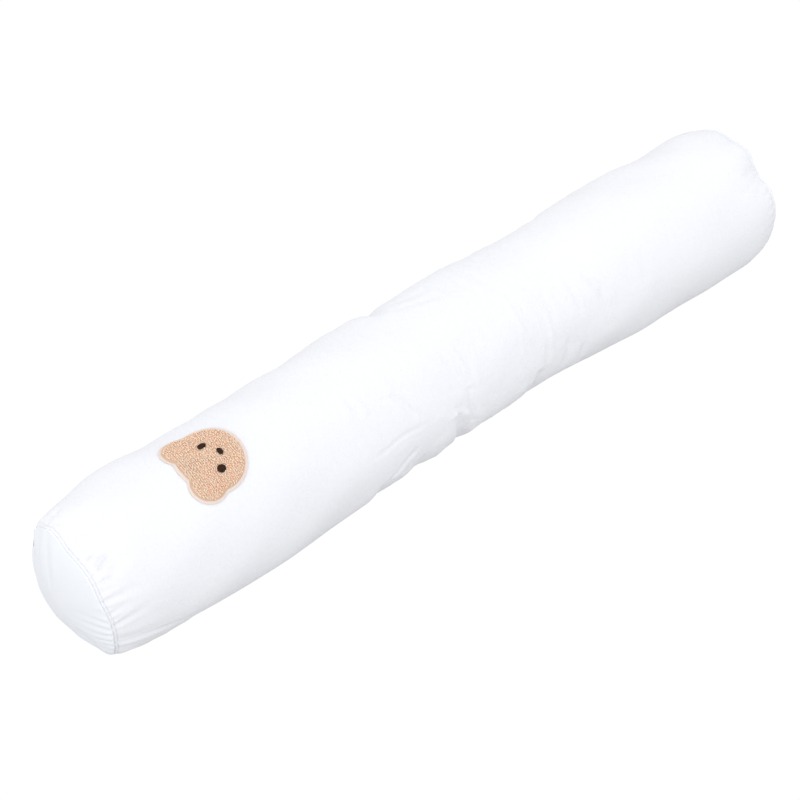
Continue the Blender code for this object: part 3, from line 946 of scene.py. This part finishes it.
def named_tree(name, kind, inputs, outputs):
    """An empty tree with named inputs, each a kind of socket and a value or None, and named outputs.

    Returns the tree, and inside it the sockets that give the inputs and those that take the result.
    """
    tree = bpy.data.node_groups.new(name, kind)
    for label, (socket_kind, value) in inputs.items():
        socket = tree.interface.new_socket(label, in_out="INPUT", socket_type=socket_kind)
        if value is not None:
            socket.default_value = value
    for label, socket_kind in outputs.items():
        tree.interface.new_socket(label, in_out="OUTPUT", socket_type=socket_kind)
    return tree, tree.nodes.new("NodeGroupInput").outputs, tree.nodes.new("NodeGroupOutput").inputs


# %% Helpers for meshes that nodes make
def geometry_tree(name, sizes):
    inputs = {"Geometry": (SHAPE, None), **sizes}
    return named_tree(name, "GeometryNodeTree", inputs, {"Geometry": SHAPE})


def random_node(tree, kind, least, most, seed):
    inputs = {"Min": least, "Max": most, "Seed": seed}
    return add_node(tree, "FunctionNodeRandomValue", inputs, data_type=kind).outputs["Value"]


def pipe_along(tree, curve, thickness, sides):
    """Yarn or thread along a curve, as a pipe with closed ends."""
    radius = math_node(tree, "MULTIPLY", thickness, 0.5)
    section = add_node(tree, "GeometryNodeCurvePrimitiveCircle", {"Resolution": sides, "Radius": radius})
    inputs = {"Curve": curve, "Profile Curve": section.outputs[0], "Fill Caps": True}
    return add_node(tree, "GeometryNodeCurveToMesh", inputs).outputs[0]


def end_tree(tree, spread, finish, result):
    """Ends a tree with real meshes in place of instances, smooth and in their material."""
    real = add_node(tree, "GeometryNodeRealizeInstances", {0: spread})
    smooth = add_node(tree, "GeometryNodeSetShadeSmooth", {0: real.outputs[0]})
    finished = add_node(tree, "GeometryNodeSetMaterial", {0: smooth.outputs[0], "Material": finish})
    tree.links.new(finished.outputs[0], result[0])


def realise(name, points, tree, values):
    """Runs a tree on a few guide points with the given inputs, and returns the result as a plain mesh."""
    guide = bpy.data.meshes.new(name + "_guide")
    guide.from_pydata(points, [], [])
    obj = add_object(name + "_guide", guide)
    modifier = obj.modifiers.new("nodes", "NODES")
    modifier.node_group = tree
    sockets = {item.name: item.identifier for item in tree.interface.items_tree if item.in_out == "INPUT"}
    for label, value in values.items():
        modifier[sockets[label]] = value
    graph = bpy.context.evaluated_depsgraph_get()
    mesh = bpy.data.meshes.new_from_object(obj.evaluated_get(graph), depsgraph=graph)
    bpy.data.objects.remove(obj)
    bpy.data.meshes.remove(guide)
    mesh.name = name
    return mesh


def move_mesh(mesh, place):
    """Moves every point of a mesh to where place(points) says, points being an (n, 3) array."""
    points = np.empty(len(mesh.vertices) * 3)
    mesh.vertices.foreach_get("co", points)
    mesh.vertices.foreach_set("co", np.asarray(place(points.reshape(-1, 3))).ravel())
    mesh.update()


# %% [markdown]
# ## Materials
#
# The cover is plain-woven cotton, so its finish is a weave with soft creasing. The tube and the panels share
# both, the creasing with values of its own on each, so they are node groups. They read the flat cloth's UV
# map, in metres, and so the threads run along and round the pillow and follow every fold.

# %% Node group for the weave
LONG_SLUBS = ((60.0, 2200.0, 1.0), (2200.0, 60.0, 1.0))
OVER_AND_UNDER = 0.35
ROUNDNESS = 0.5


def noise(tree, at, scale, detail, distortion=0.0):
    inputs = {"Vector": at, "Scale": scale, "Detail": detail, "Distortion": distortion}
    return add_node(tree, "ShaderNodeTexNoise", inputs).outputs[0]


def plain_weave_group():
    """Height of a plain weave, with threads of uneven thickness, and how light each thread is."""
    tree, given, result = named_tree(
        "plain_weave",
        "ShaderNodeTree",
        {"Cloth": (PLACE, None), "Thread Pitch": (NUMBER, 0.0004), "Unevenness": (NUMBER, 0.5)},
        {"Height": NUMBER, "Thread Shade": NUMBER},
    )
    calc = partial(math_node, tree)
    weft, warp = (
        calc("SINE", calc("DIVIDE", calc("MULTIPLY", along, math.pi), given["Thread Pitch"]))
        for along in parts_of(tree, given["Cloth"])[:2]
    )
    over = calc("MULTIPLY", calc("MULTIPLY", weft, warp), OVER_AND_UNDER)
    thread = calc("MULTIPLY", calc("MAXIMUM", calc("ABSOLUTE", weft), calc("ABSOLUTE", warp)), ROUNDNESS)
    long_places = (scaled(tree, given["Cloth"], slub) for slub in LONG_SLUBS)
    slubs = calc("ADD", *(noise(tree, place, scale=1.0, detail=1.0) for place in long_places))
    uneven = calc("MULTIPLY", slubs, given["Unevenness"])
    tree.links.new(calc("ADD", calc("ADD", over, thread), uneven), result["Height"])
    tree.links.new(slubs, result["Thread Shade"])
    return tree


PLAIN_WEAVE = plain_weave_group()
print(PLAIN_WEAVE.name, "nodes", len(PLAIN_WEAVE.nodes))

# %% Node group for soft creasing
RIDGE_POWER = 0.7


def soft_creasing_group():
    """Height of the faint, soft creasing of washed cotton, with more of it round the slack middle."""
    tree, given, result = named_tree(
        "soft_creasing",
        "ShaderNodeTree",
        {
            "Cloth": (PLACE, None),
            "Size": (NUMBER, 0.02),
            "Stretch": (PLACE, (1.0, 1.0, 1.0)),
            "Slack": (NUMBER, 0.0),
        },
        {"Height": NUMBER},
    )
    calc = partial(math_node, tree)
    at = scaled(tree, given["Cloth"], given["Stretch"])
    wander = noise(tree, at, calc("DIVIDE", 1.0, given["Size"]), detail=3.0, distortion=0.6)
    ridge = calc("POWER", calc("ABSOLUTE", calc("SUBTRACT", wander, 0.5)), RIDGE_POWER)
    along = parts_of(tree, given["Cloth"])[1]
    far_off = calc("DIVIDE", calc("SUBTRACT", along, RIPPLED_MIDDLE), RIPPLED_REACH)
    fade = calc("EXPONENT", calc("MULTIPLY", calc("MULTIPLY", far_off, far_off), -1.0))
    strength = calc("ADD", calc("MULTIPLY", fade, given["Slack"]), 1.0)
    tree.links.new(calc("MULTIPLY", ridge, strength), result["Height"])
    return tree


SOFT_CREASING = soft_creasing_group()
print(SOFT_CREASING.name, "nodes", len(SOFT_CREASING.nodes))

# %% Node group for fibre fuzz
CLUMPS_TO_FIBRES = 0.12


def fibre_group():
    """Height and lightness of loose fibres, for felt and for yarn."""
    tree, given, result = named_tree(
        "loose_fibres",
        "ShaderNodeTree",
        {"Place": (PLACE, None), "Fibre Size": (NUMBER, 0.0005)},
        {"Height": NUMBER, "Lightness": NUMBER},
    )
    calc = partial(math_node, tree)
    scale = calc("DIVIDE", 1.0, given["Fibre Size"])
    fibres = noise(tree, given["Place"], scale, detail=2.0, distortion=1.5)
    clumps = noise(tree, given["Place"], calc("MULTIPLY", scale, CLUMPS_TO_FIBRES), detail=2.0)
    tree.links.new(fibres, result["Height"])
    tree.links.new(calc("MULTIPLY", calc("ADD", fibres, clumps), 0.5), result["Lightness"])
    return tree


LOOSE_FIBRES = fibre_group()
print(LOOSE_FIBRES.name, "nodes", len(LOOSE_FIBRES.nodes))


# %% Helpers for materials
def principled(name, **values):
    """A material with one Principled shader. Returns the material, its tree and the shader."""
    made = bpy.data.materials.new(name)
    made.use_nodes = True
    shader = made.node_tree.nodes["Principled BSDF"]
    for label, value in values.items():
        shader.inputs[label.replace("_", " ")].default_value = value
    return made, made.node_tree, shader


def grouped(tree, group, inputs):
    return add_node(tree, "ShaderNodeGroup", inputs, node_tree=group).outputs


def tinted(tree, shader, share, darker, lighter):
    """Colours a shader between two tints, by a share that changes over the surface."""
    inputs = {"Factor": share, "A": (*darker, 1.0), "B": (*lighter, 1.0)}
    mix = add_node(tree, "ShaderNodeMix", inputs, data_type="RGBA")
    tree.links.new(mix.outputs["Result"], shader.inputs["Base Color"])


def bumped(tree, height, depth, strength=1.0, **more):
    inputs = {"Height": height, "Distance": depth, "Strength": strength, **more}
    return add_node(tree, "ShaderNodeBump", inputs).outputs[0]


# %% Materials of the cover
THREAD_PITCH = 0.0004
THREAD_UNEVENNESS = 0.5
THREAD_DARKENING = 0.975
WEAVE_DEPTH, WEAVE_STRENGTH = 0.00005, 0.6
CREASING_SIZE = 0.022
CREPE_SIZE = 0.0060
CREPE_STRETCH = (0.6, 1.0, 1.0)


def cotton(name, colour, stretch, crease_depth, crepe_depth, slack):
    """White cotton: weave, fine crepe and soft creasing as bump, and a faint difference between threads."""
    made, tree, shader = principled(
        name, Roughness=0.88, Sheen_Weight=0.12, Sheen_Roughness=0.45, Specular_IOR_Level=0.25
    )
    cloth = {"Cloth": add_node(tree, "ShaderNodeUVMap", uv_map="cloth").outputs["UV"]}
    threads = {"Thread Pitch": THREAD_PITCH, "Unevenness": THREAD_UNEVENNESS}
    weave = grouped(tree, PLAIN_WEAVE, {**cloth, **threads})
    creasing = grouped(tree, SOFT_CREASING, {**cloth, "Size": CREASING_SIZE, "Stretch": stretch})
    crepe = grouped(
        tree, SOFT_CREASING, {**cloth, "Size": CREPE_SIZE, "Stretch": CREPE_STRETCH, "Slack": slack}
    )
    tinted(tree, shader, weave["Thread Shade"], [channel * THREAD_DARKENING for channel in colour], colour)
    soft = bumped(tree, creasing["Height"], crease_depth)
    fine = bumped(tree, crepe["Height"], crepe_depth, Normal=soft)
    woven = bumped(tree, weave["Height"], WEAVE_DEPTH, WEAVE_STRENGTH, Normal=fine)
    tree.links.new(woven, shader.inputs["Normal"])
    return made


TUBE_COTTON = cotton(
    "white_cotton",
    colour=(0.853, 0.865, 0.905),
    stretch=(1.0, 0.55, 1.0),
    crease_depth=0.0005,
    crepe_depth=0.00055,
    slack=0.15,
)
# The panels are the tube's cloth painted about three per cent lighter: painted light on the panels, not a
# different cloth.
PANEL_COTTON_PAINTED_LIGHTER = cotton(
    "white_cotton_panels_painted_light",
    colour=(0.866, 0.888, 0.932),
    stretch=(0.8, 0.8, 1.0),
    crease_depth=0.0003,
    crepe_depth=0.0001,
    slack=0.0,
)
tube.data.materials.append(TUBE_COTTON)
near_panel.data.materials.append(PANEL_COTTON_PAINTED_LIGHTER)
far_panel.data.materials.append(PANEL_COTTON_PAINTED_LIGHTER)
print("cover in", TUBE_COTTON.name, "and", PANEL_COTTON_PAINTED_LIGHTER.name)

# %% [markdown]
# ## The patch's plan
#
# The patch is drawn flat from one ellipse for the head and two circles for the ears, blended where they
# meet. On the plan, x runs towards the bolster's back, y towards the ears, and the height is up off the
# cloth. The plan is right-handed, so faces keep their outside when they are laid on the bolster.

# %% Draw the patch's outline
PATCH_STATION = -0.2556
PATCH_ANGLE = 6.8
HEAD_HALF_WIDTH = 0.0368
HEAD_HALF_HEIGHT = 0.0317
EAR_RADIUS = 0.0176
EAR_OUT = 0.0222
EAR_UP = 0.0165
EAR_BLEND = 0.0018
OUTLINE_STEPS = 220
HALVINGS = 30


def outside_patch(x, y):
    """How far a place on the plan lies outside the patch's outline, below zero inside."""
    head = (np.hypot(x / HEAD_HALF_WIDTH, y / HEAD_HALF_HEIGHT) - 1) * HEAD_HALF_HEIGHT
    ear = np.hypot(np.abs(x) - EAR_OUT, y - EAR_UP) - EAR_RADIUS
    blend = np.maximum(EAR_BLEND - np.abs(head - ear), 0) / EAR_BLEND
    return np.minimum(head, ear) - blend * blend * EAR_BLEND / 4


def patch_reach(turn):
    """Distances from the head's middle to the patch's edge, found by halving."""
    low, high = np.zeros(turn.shape), np.full(turn.shape, 2 * HEAD_HALF_WIDTH)
    for _ in range(HALVINGS):
        middle = (low + high) / 2
        inside = outside_patch(middle * np.cos(turn), middle * np.sin(turn)) < 0
        low, high = np.where(inside, middle, low), np.where(inside, high, middle)
    return low


def on_patch(points):
    """Lays points of the patch's plan, (n, 3) with a height, on the bolster."""
    station = PATCH_STATION - points[:, 1]
    radius = from_sections(station, "radius")
    angle = PATCH_ANGLE - np.degrees(points[:, 0] / radius)
    return on_bolster(station, angle, radius + points[:, 2])


turns = np.arange(OUTLINE_STEPS) * 2 * math.pi / OUTLINE_STEPS
outline = patch_reach(turns)
print("patch", round(2 * (EAR_OUT + EAR_RADIUS), 4), "wide; shortest reach", round(float(outline.min()), 4))

# %% [markdown]
# ## The felt backing
#
# The terry is sewn on a piece of thin felt, which shows as a pale border all round. It is a disc of rings
# drawn in to the outline, with a rounded edge. A mesh from the plan is simpler here than cloth with a
# bevel, because the outline has sharp inner corners beside the ears. A little air between the layers keeps
# them apart.

# %% Build the felt backing
FELT = 0.0009
AIR = 0.0003
BORDER = 0.0029
Step = namedtuple("Step", "inset height")
FELT_EDGE = [
    Step(0.0, 0.0),
    Step(-0.00012, 0.00035),
    Step(0.00006, 0.0007),
    Step(0.0004, FELT),
    Step(0.0010, FELT),
    Step(BORDER, FELT),
]
UNDERSIDE_INSET = 0.001
INNER_SHARES = (0.86, 0.7, 0.5, 0.28)


def plan_disc(name, edge, top, bottom):
    """A closed low disc on the patch: stepped rings from the outline in, then shares of the last one."""
    outwards = np.stack([np.cos(turns), np.sin(turns), np.zeros(OUTLINE_STEPS)], axis=-1)
    steps = [Step(edge[0].inset + UNDERSIDE_INSET, bottom), *edge]
    rings = [(outline - step.inset)[:, None] * outwards + (0, 0, step.height) for step in steps]
    rings += [rings[-1] * (share, share, 0) + (0, 0, top) for share in INNER_SHARES]
    rings = np.array(rings)
    wrapped = np.concatenate([rings, rings[:, :1]], axis=1)
    poles = [((0, 0, top), len(rings) - 1, False), ((0, 0, bottom), 0, True)]
    mesh = ring_mesh(name, rings, wrapped[..., :2], poles)
    mesh.flip_normals()
    move_mesh(mesh, lambda points: on_patch(points + (0, 0, AIR)))
    return add_object(name, mesh)


felt = plan_disc("patch_backing", FELT_EDGE, FELT, 0.0)
report(felt)

# %% [markdown]
# ## Terry loops
#
# The pile is rows of small yarn loops. They repeat by the hundred, so Geometry Nodes sets them out: a point
# for each loop on the plan, three kinds of loop to choose from, and a seeded random turn, lean and size for
# each. The result is laid on the bolster with the rest of the patch.

# %% Set out the loop roots
ROW_PITCH = 0.0019
LOOP_PITCH = 0.0017
LOOP_STRAY = 0.00032
ROW_STRAY = 0.00030
LOOP_MARGIN = 0.0038
GROUND_HEIGHT = 0.0011
UNDER_A_DOT = 0.95
Dot = namedtuple("Dot", "name node x y half_across half_up")
DOTS = [
    Dot("eye_back_stitches", "stitched_eye_back", 0.0118, -0.0006, 0.0028, 0.0041),
    Dot("eye_front_stitches", "stitched_eye_front", -0.0159, -0.0011, 0.0036, 0.0039),
    Dot("nose_stitches", "stitched_nose", -0.002, -0.0098, 0.0036, 0.0024),
]


def loop_roots():
    """Places of the loops: rows across the head, every second row half a pitch along."""
    chance = np.random.default_rng(seed=21)
    rows = np.arange(-HEAD_HALF_HEIGHT, EAR_UP + EAR_RADIUS, ROW_PITCH)
    columns = np.arange(-EAR_OUT - EAR_RADIUS, EAR_OUT + EAR_RADIUS, LOOP_PITCH)
    x, y = np.meshgrid(columns, rows)
    x = x + (np.arange(len(rows)) % 2)[:, None] * LOOP_PITCH / 2
    x = x + chance.normal(0, LOOP_STRAY, x.shape)
    y = y + chance.normal(0, ROW_STRAY, y.shape)
    kept = outside_patch(x, y) < -LOOP_MARGIN
    for dot in DOTS:
        kept &= np.hypot((x - dot.x) / dot.half_across, (y - dot.y) / dot.half_up) > UNDER_A_DOT
    return np.stack([x[kept], y[kept], np.full(int(kept.sum()), GROUND_HEIGHT)], axis=-1)


roots = loop_roots()
print("terry loops", len(roots))

# %% Shape the kinds of loop
Loop = namedtuple("Loop", "turns width height lean")

# Turns of yarn, width and height in loop heights, and lean in radians
LOOP_KINDS = [Loop(1.15, 1.15, 1.0, 0.15), Loop(1.0, 0.85, 1.1, -0.25), Loop(1.3, 1.2, 0.75, 0.5)]
LOOP_STEPS = 8
YARN_SIDES = 5
COIL_NARROWING = 0.72
COIL_ADVANCE = 0.9
LIFTED_BY = 0.42
print("kinds of loop", len(LOOP_KINDS))


def loop_kind(tree, given, kind):
    """One yarn loop standing on the origin, as an instance."""
    yarn, size = given["Yarn Thickness"], given["Loop Height"]
    radius = math_node(tree, "MULTIPLY", size, kind.width / 2)
    coil = add_node(
        tree,
        "GeometryNodeCurveSpiral",
        {
            "Resolution": LOOP_STEPS,
            "Rotations": kind.turns,
            "Start Radius": radius,
            "End Radius": math_node(tree, "MULTIPLY", radius, COIL_NARROWING),
            "Height": math_node(tree, "MULTIPLY", yarn, COIL_ADVANCE),
        },
    )
    standing = add_node(
        tree,
        "GeometryNodeTransform",
        {
            "Geometry": coil.outputs[0],
            "Rotation": (math.pi / 2 + kind.lean, 0.0, 0.0),
            "Scale": vector_node(tree, 1.0, kind.height / kind.width, 1.0),
            "Translation": vector_node(tree, z=math_node(tree, "MULTIPLY", size, kind.height * LIFTED_BY)),
        },
    )
    pipe = pipe_along(tree, standing.outputs[0], yarn, YARN_SIDES)
    return add_node(tree, "GeometryNodeGeometryToInstance", {0: pipe}).outputs[0]


# %% Set the loops out with Geometry Nodes
LEAST_LOOP, MOST_LOOP = 0.8, 1.22


def terry_tree():
    tree, given, result = geometry_tree(
        "terry_loops",
        {
            "Yarn Thickness": (NUMBER, 0.0008),
            "Loop Height": (NUMBER, 0.0018),
            "Lean": (NUMBER, 0.5),
            "Turn": (NUMBER, 0.8),
            "Seed": (WHOLE, 3),
            "Material": (FINISH, None),
        },
    )
    kinds = add_node(tree, "GeometryNodeJoinGeometry")
    for kind in LOOP_KINDS:
        tree.links.new(loop_kind(tree, given, kind), kinds.inputs[0])
    most = vector_node(tree, given["Lean"], given["Lean"], given["Turn"])
    least = scaled(tree, most, (-1.0, -1.0, -1.0))
    spread = add_node(
        tree,
        "GeometryNodeInstanceOnPoints",
        {
            "Points": add_node(tree, "GeometryNodeMeshToPoints", {0: given["Geometry"]}).outputs[0],
            "Instance": kinds.outputs[0],
            "Pick Instance": True,
            "Instance Index": random_node(tree, "INT", 0, len(LOOP_KINDS) - 1, given["Seed"]),
            "Rotation": random_node(tree, "FLOAT_VECTOR", least, most, given["Seed"]),
            "Scale": random_node(tree, "FLOAT", LEAST_LOOP, MOST_LOOP, given["Seed"]),
        },
    )
    end_tree(tree, spread.outputs[0], given["Material"], result)
    return tree


TERRY = terry_tree()
print(TERRY.name, "nodes", len(TERRY.nodes))

# %% [markdown]
# ## Finishes of the patch
#
# Felt, terry yarn and stitching thread are all loose fibre, so one function makes them, each with its own
# tints. The terry's ground is the yarn in darker tints, painted shade for the gaps between the loops. The
# terry's yarn also lets a little light through and has a warm sheen, which lifts the pile.

# %% Materials of the patch
YARN_GLOW = (0.0016, 0.0011, 0.0008)
YARN = {
    "Roughness": 0.95,
    "Sheen_Weight": 0.5,
    "Sheen_Roughness": 0.5,
    "Sheen_Tint": (1.0, 0.62, 0.44, 1.0),
    "Specular_IOR_Level": 0.1,
    "Subsurface_Weight": 0.5,
    "Subsurface_Radius": YARN_GLOW,
    "Subsurface_Scale": 1.0,
}
Fuzz = namedtuple("Fuzz", "fibre depth strength")
FELT_FUZZ = Fuzz(0.0005, 0.0003, 0.8)
YARN_FUZZ = Fuzz(0.0003, 0.0002, 0.35)
THREAD_FUZZ = Fuzz(0.0004, 0.0, 0.0)


def fibrous(name, darker, lighter, fuzz, **values):
    """A finish of loose fibre, its two tints mixed fibre by fibre, with the fuzz as bump where it has any."""
    made, tree, shader = principled(name, **values)
    place = add_node(tree, "ShaderNodeTexCoord").outputs["Object"]
    fibres = grouped(tree, LOOSE_FIBRES, {"Place": place, "Fibre Size": fuzz.fibre})
    tinted(tree, shader, fibres["Lightness"], darker, lighter)
    if fuzz.depth > 0:
        tree.links.new(bumped(tree, fibres["Height"], fuzz.depth, fuzz.strength), shader.inputs["Normal"])
    return made


FELT_FINISH = fibrous(
    "pale_felt",
    (0.76, 0.63, 0.57),
    (0.88, 0.78, 0.73),
    FELT_FUZZ,
    Roughness=0.95,
    Sheen_Weight=0.2,
    Specular_IOR_Level=0.2,
)
TERRY_FINISH = fibrous("tan_terry", (1.0, 0.66, 0.47), (1.0, 0.89, 0.75), YARN_FUZZ, **YARN)
# The terry's ground is the same yarn in darker tints: painted shade in the gaps between the loops.
TERRY_GROUND_PAINTED_SHADE = fibrous("tan_terry_base_painted_shade", (0.72, 0.40, 0.26), (0.86, 0.55, 0.39), YARN_FUZZ, **YARN)
THREAD_FINISH = fibrous(
    "dark_thread",
    (0.022, 0.008, 0.003),
    (0.065, 0.030, 0.016),
    THREAD_FUZZ,
    Roughness=0.6,
    Specular_IOR_Level=0.15,
)
felt.data.materials.append(FELT_FINISH)
print("patch in", [made.name for made in (FELT_FINISH, TERRY_FINISH, TERRY_GROUND_PAINTED_SHADE, THREAD_FINISH)])

# %% Make the terry
GROUND_EDGE = [Step(BORDER, FELT + AIR), Step(BORDER + 0.0004, GROUND_HEIGHT + AIR)]
TERRY_SIZES = {"Yarn Thickness": 0.00078, "Loop Height": 0.0015, "Lean": 0.3, "Turn": 0.5, "Seed": 3}


def build_terry():
    mesh = realise("terry_loops", roots.tolist(), TERRY, {**TERRY_SIZES, "Material": TERRY_FINISH})
    move_mesh(mesh, lambda points: on_patch(points + (0, 0, AIR)))
    return add_object("terry_loops", mesh)


terry_ground = plan_disc("terry_ground", GROUND_EDGE, GROUND_HEIGHT + AIR, FELT + AIR)
terry_ground.data.materials.append(TERRY_GROUND_PAINTED_SHADE)
terry = build_terry()
report(terry_ground)
report(terry)

# %% [markdown]
# ## Satin-stitched eyes and nose
#
# Each dot is a row of dark threads laid side by side over a little padding. A tree sets the threads across
# an oval: each is as long as the oval is wide there, and arches a little higher in the middle.

# %% Lay one arched thread
STRAND_POINTS = 11
THREAD_SIDES = 7


def arch_of(tree, share):
    """The height of a half circle at a share of its reach, from -1 to 1."""
    calc = partial(math_node, tree)
    return calc("SQRT", calc("MAXIMUM", calc("SUBTRACT", 1.0, calc("MULTIPLY", share, share)), 0.0))


def arched_thread(tree, size):
    """One thread right across the oval's middle, arched over the padding."""
    across = size["Half Across"]
    start = vector_node(tree, math_node(tree, "MULTIPLY", across, -1.0))
    ends = {"Start": start, "End": vector_node(tree, across)}
    strand = add_node(tree, "GeometryNodeCurvePrimitiveLine", ends)
    points = {"Curve": strand.outputs[0], "Count": STRAND_POINTS}
    strand = add_node(tree, "GeometryNodeResampleCurve", points)
    along = parts_of(tree, add_node(tree, "GeometryNodeInputPosition").outputs[0])[0]
    arch = arch_of(tree, math_node(tree, "DIVIDE", along, across))
    lift = vector_node(tree, z=math_node(tree, "MULTIPLY", arch, size["Rise"]))
    arched = add_node(tree, "GeometryNodeSetPosition", {"Geometry": strand.outputs[0], "Offset": lift})
    return pipe_along(tree, arched.outputs[0], size["Thread Thickness"], THREAD_SIDES)


# %% Set threads across an oval with Geometry Nodes
OUTERMOST = 0.97
SHORTEST_THREAD, LONGEST_THREAD = 0.96, 1.06


def satin_tree():
    tree, size, result = geometry_tree(
        "satin_stitches",
        {
            "Threads": (WHOLE, 16),
            "Half Across": (NUMBER, 0.003),
            "Half Up": (NUMBER, 0.004),
            "Rise": (NUMBER, 0.001),
            "Thread Thickness": (NUMBER, 0.0005),
            "Seed": (WHOLE, 1),
            "Material": (FINISH, None),
        },
    )
    calc = partial(math_node, tree)
    line = {"Count": size["Threads"]}
    line = add_node(tree, "GeometryNodeMeshLine", line, mode="OFFSET", count_mode="TOTAL")
    index = add_node(tree, "GeometryNodeInputIndex").outputs[0]
    share = calc("MULTIPLY", calc("DIVIDE", index, calc("SUBTRACT", size["Threads"], 1.0)), 2.0)
    share = calc("MULTIPLY", calc("SUBTRACT", share, 1.0), OUTERMOST)
    uneven = random_node(tree, "FLOAT", SHORTEST_THREAD, LONGEST_THREAD, size["Seed"])
    chord = calc("MULTIPLY", arch_of(tree, share), uneven)
    at = vector_node(tree, y=calc("MULTIPLY", share, size["Half Up"]))
    placed = add_node(tree, "GeometryNodeSetPosition", {"Geometry": line.outputs[0], "Position": at})
    tall = calc("ADD", calc("MULTIPLY", chord, 0.5), 0.5)
    spread = add_node(
        tree,
        "GeometryNodeInstanceOnPoints",
        {
            "Points": placed.outputs[0],
            "Instance": arched_thread(tree, size),
            "Scale": vector_node(tree, chord, 1.0, tall),
        },
    )
    end_tree(tree, spread.outputs[0], size["Material"], result)
    return tree


SATIN = satin_tree()
print(SATIN.name, "nodes", len(SATIN.nodes))

# %% Stitch the eyes and the nose
THREAD = 0.00048
THREAD_SPACING = THREAD * 0.9
DOT_FOOT = 0.0022
DOT_RISE = 0.0010


def build_dot(dot, seed):
    sizes = {
        "Threads": round(2 * dot.half_up / THREAD_SPACING),
        "Half Across": dot.half_across,
        "Half Up": dot.half_up,
        "Rise": DOT_RISE,
        "Thread Thickness": THREAD,
        "Seed": seed,
        "Material": THREAD_FINISH,
    }
    mesh = realise(dot.name, [(0, 0, 0)], SATIN, sizes)
    move_mesh(mesh, lambda points: on_patch(points + (dot.x, dot.y, DOT_FOOT + AIR)))
    return add_object(dot.name, mesh)


dots = [build_dot(dot, seed) for seed, dot in enumerate(DOTS, start=5)]
for made in dots:
    report(made)

# %% [markdown]
# ## Floor and light
#
# The photograph is shot on white, in broad light with hardly a shadow. A bright sky all round does most of
# the work. Four wide, weak lamps give the folds their direction: two low ones from the front and the near
# end, one high one from the back and one overhead. The floor is grey for the light that it throws back up,
# and the camera sees it as plain white.

# %% Build the floor
WHITE = (1.0, 1.0, 1.0, 1.0)
FLOOR_SHADE = 0.5
FLOOR_SIZE = 40
FLOOR_DROP = 0.0002
FLOOR_GLOW = 1.03


def shown_as(tree, bounced, seen, surface):
    """Joins two shaders to an output: one for the light that bounces, the other for what the camera sees."""
    sight = add_node(tree, "ShaderNodeLightPath").outputs["Is Camera Ray"]
    blend = add_node(tree, "ShaderNodeMixShader", {0: sight, 1: bounced, 2: seen})
    tree.links.new(blend.outputs[0], surface)


def build_floor():
    bpy.ops.mesh.primitive_plane_add(size=FLOOR_SIZE, location=(0, 0, -FLOOR_DROP))
    floor = bpy.context.object
    floor.name = "floor"
    made, tree, shader = principled("white_floor", Roughness=1.0, Specular_IOR_Level=0.0)
    shader.inputs["Base Color"].default_value = (FLOOR_SHADE, FLOOR_SHADE, FLOOR_SHADE, 1.0)
    glow = add_node(tree, "ShaderNodeEmission", {"Color": WHITE, "Strength": FLOOR_GLOW})
    surface = tree.nodes["Material Output"].inputs["Surface"]
    shown_as(tree, shader.outputs[0], glow.outputs[0], surface)
    floor.data.materials.append(made)
    print(floor.name, "shade", FLOOR_SHADE)


build_floor()

# %% Light the scene
Lamp = namedtuple("Lamp", "name towards power")
SKY_STRENGTH = 0.890
LAMP_SIZE = 1.8
LAMP_DISTANCE = 2.4
LAMPS = [
    Lamp("front_low", (0.0, -1.0, 0.35), 12.2),
    Lamp("near_end_low", (-1.0, 0.0, 0.35), 10.4),
    Lamp("overhead", (0.4, 0.0, 1.0), 6.5),
    Lamp("back_high", (0.0, 1.0, 1.0), 5.4),
]


def light_sky():
    world = bpy.data.worlds.new("sky")
    bpy.context.scene.world = world
    world.use_nodes = True
    tree = world.node_tree
    tree.nodes.clear()
    fill = add_node(tree, "ShaderNodeBackground", {"Color": WHITE, "Strength": SKY_STRENGTH})
    plain = add_node(tree, "ShaderNodeBackground", {"Color": WHITE, "Strength": 1.0})
    surface = tree.nodes.new("ShaderNodeOutputWorld").inputs["Surface"]
    shown_as(tree, fill.outputs[0], plain.outputs[0], surface)


def hang_lamp(lamp):
    data = bpy.data.lights.new(lamp.name, "AREA")
    data.shape = "DISK"
    data.size = LAMP_SIZE
    data.energy = lamp.power
    towards = Vector(lamp.towards).normalized()
    hung = bpy.data.objects.new(lamp.name, data)
    bpy.context.scene.collection.objects.link(hung)
    hung.location = towards * LAMP_DISTANCE
    hung.rotation_mode = "QUATERNION"
    hung.rotation_quaternion = towards.to_track_quat("Z", "Y")


light_sky()
for lamp in LAMPS:
    hang_lamp(lamp)
bpy.context.scene.view_settings.view_transform = "Standard"
print("lamps", len(LAMPS), "with", round(sum(lamp.power for lamp in LAMPS), 1), "W in all")

# %% [markdown]
# ## Hand the pieces over
#
# Each new piece rides on the pillow's one body, and the solid that it covers is hidden.

for piece, node, slot in (
    (tube, "tube", "tube_cotton"),
    (near_panel, "end_panel_near", "panel_cotton"),
    (far_panel, "end_panel_far", "panel_cotton"),
    (felt, "bear_patch", "tan_terry"),
    (terry_ground, "bear_patch", "tan_terry"),
    (terry, "bear_patch", "tan_terry"),
):
    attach(piece, BODY)
    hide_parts(node)

for piece, dot in zip(dots, DOTS):
    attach(piece, BODY)
    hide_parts(dot.node)
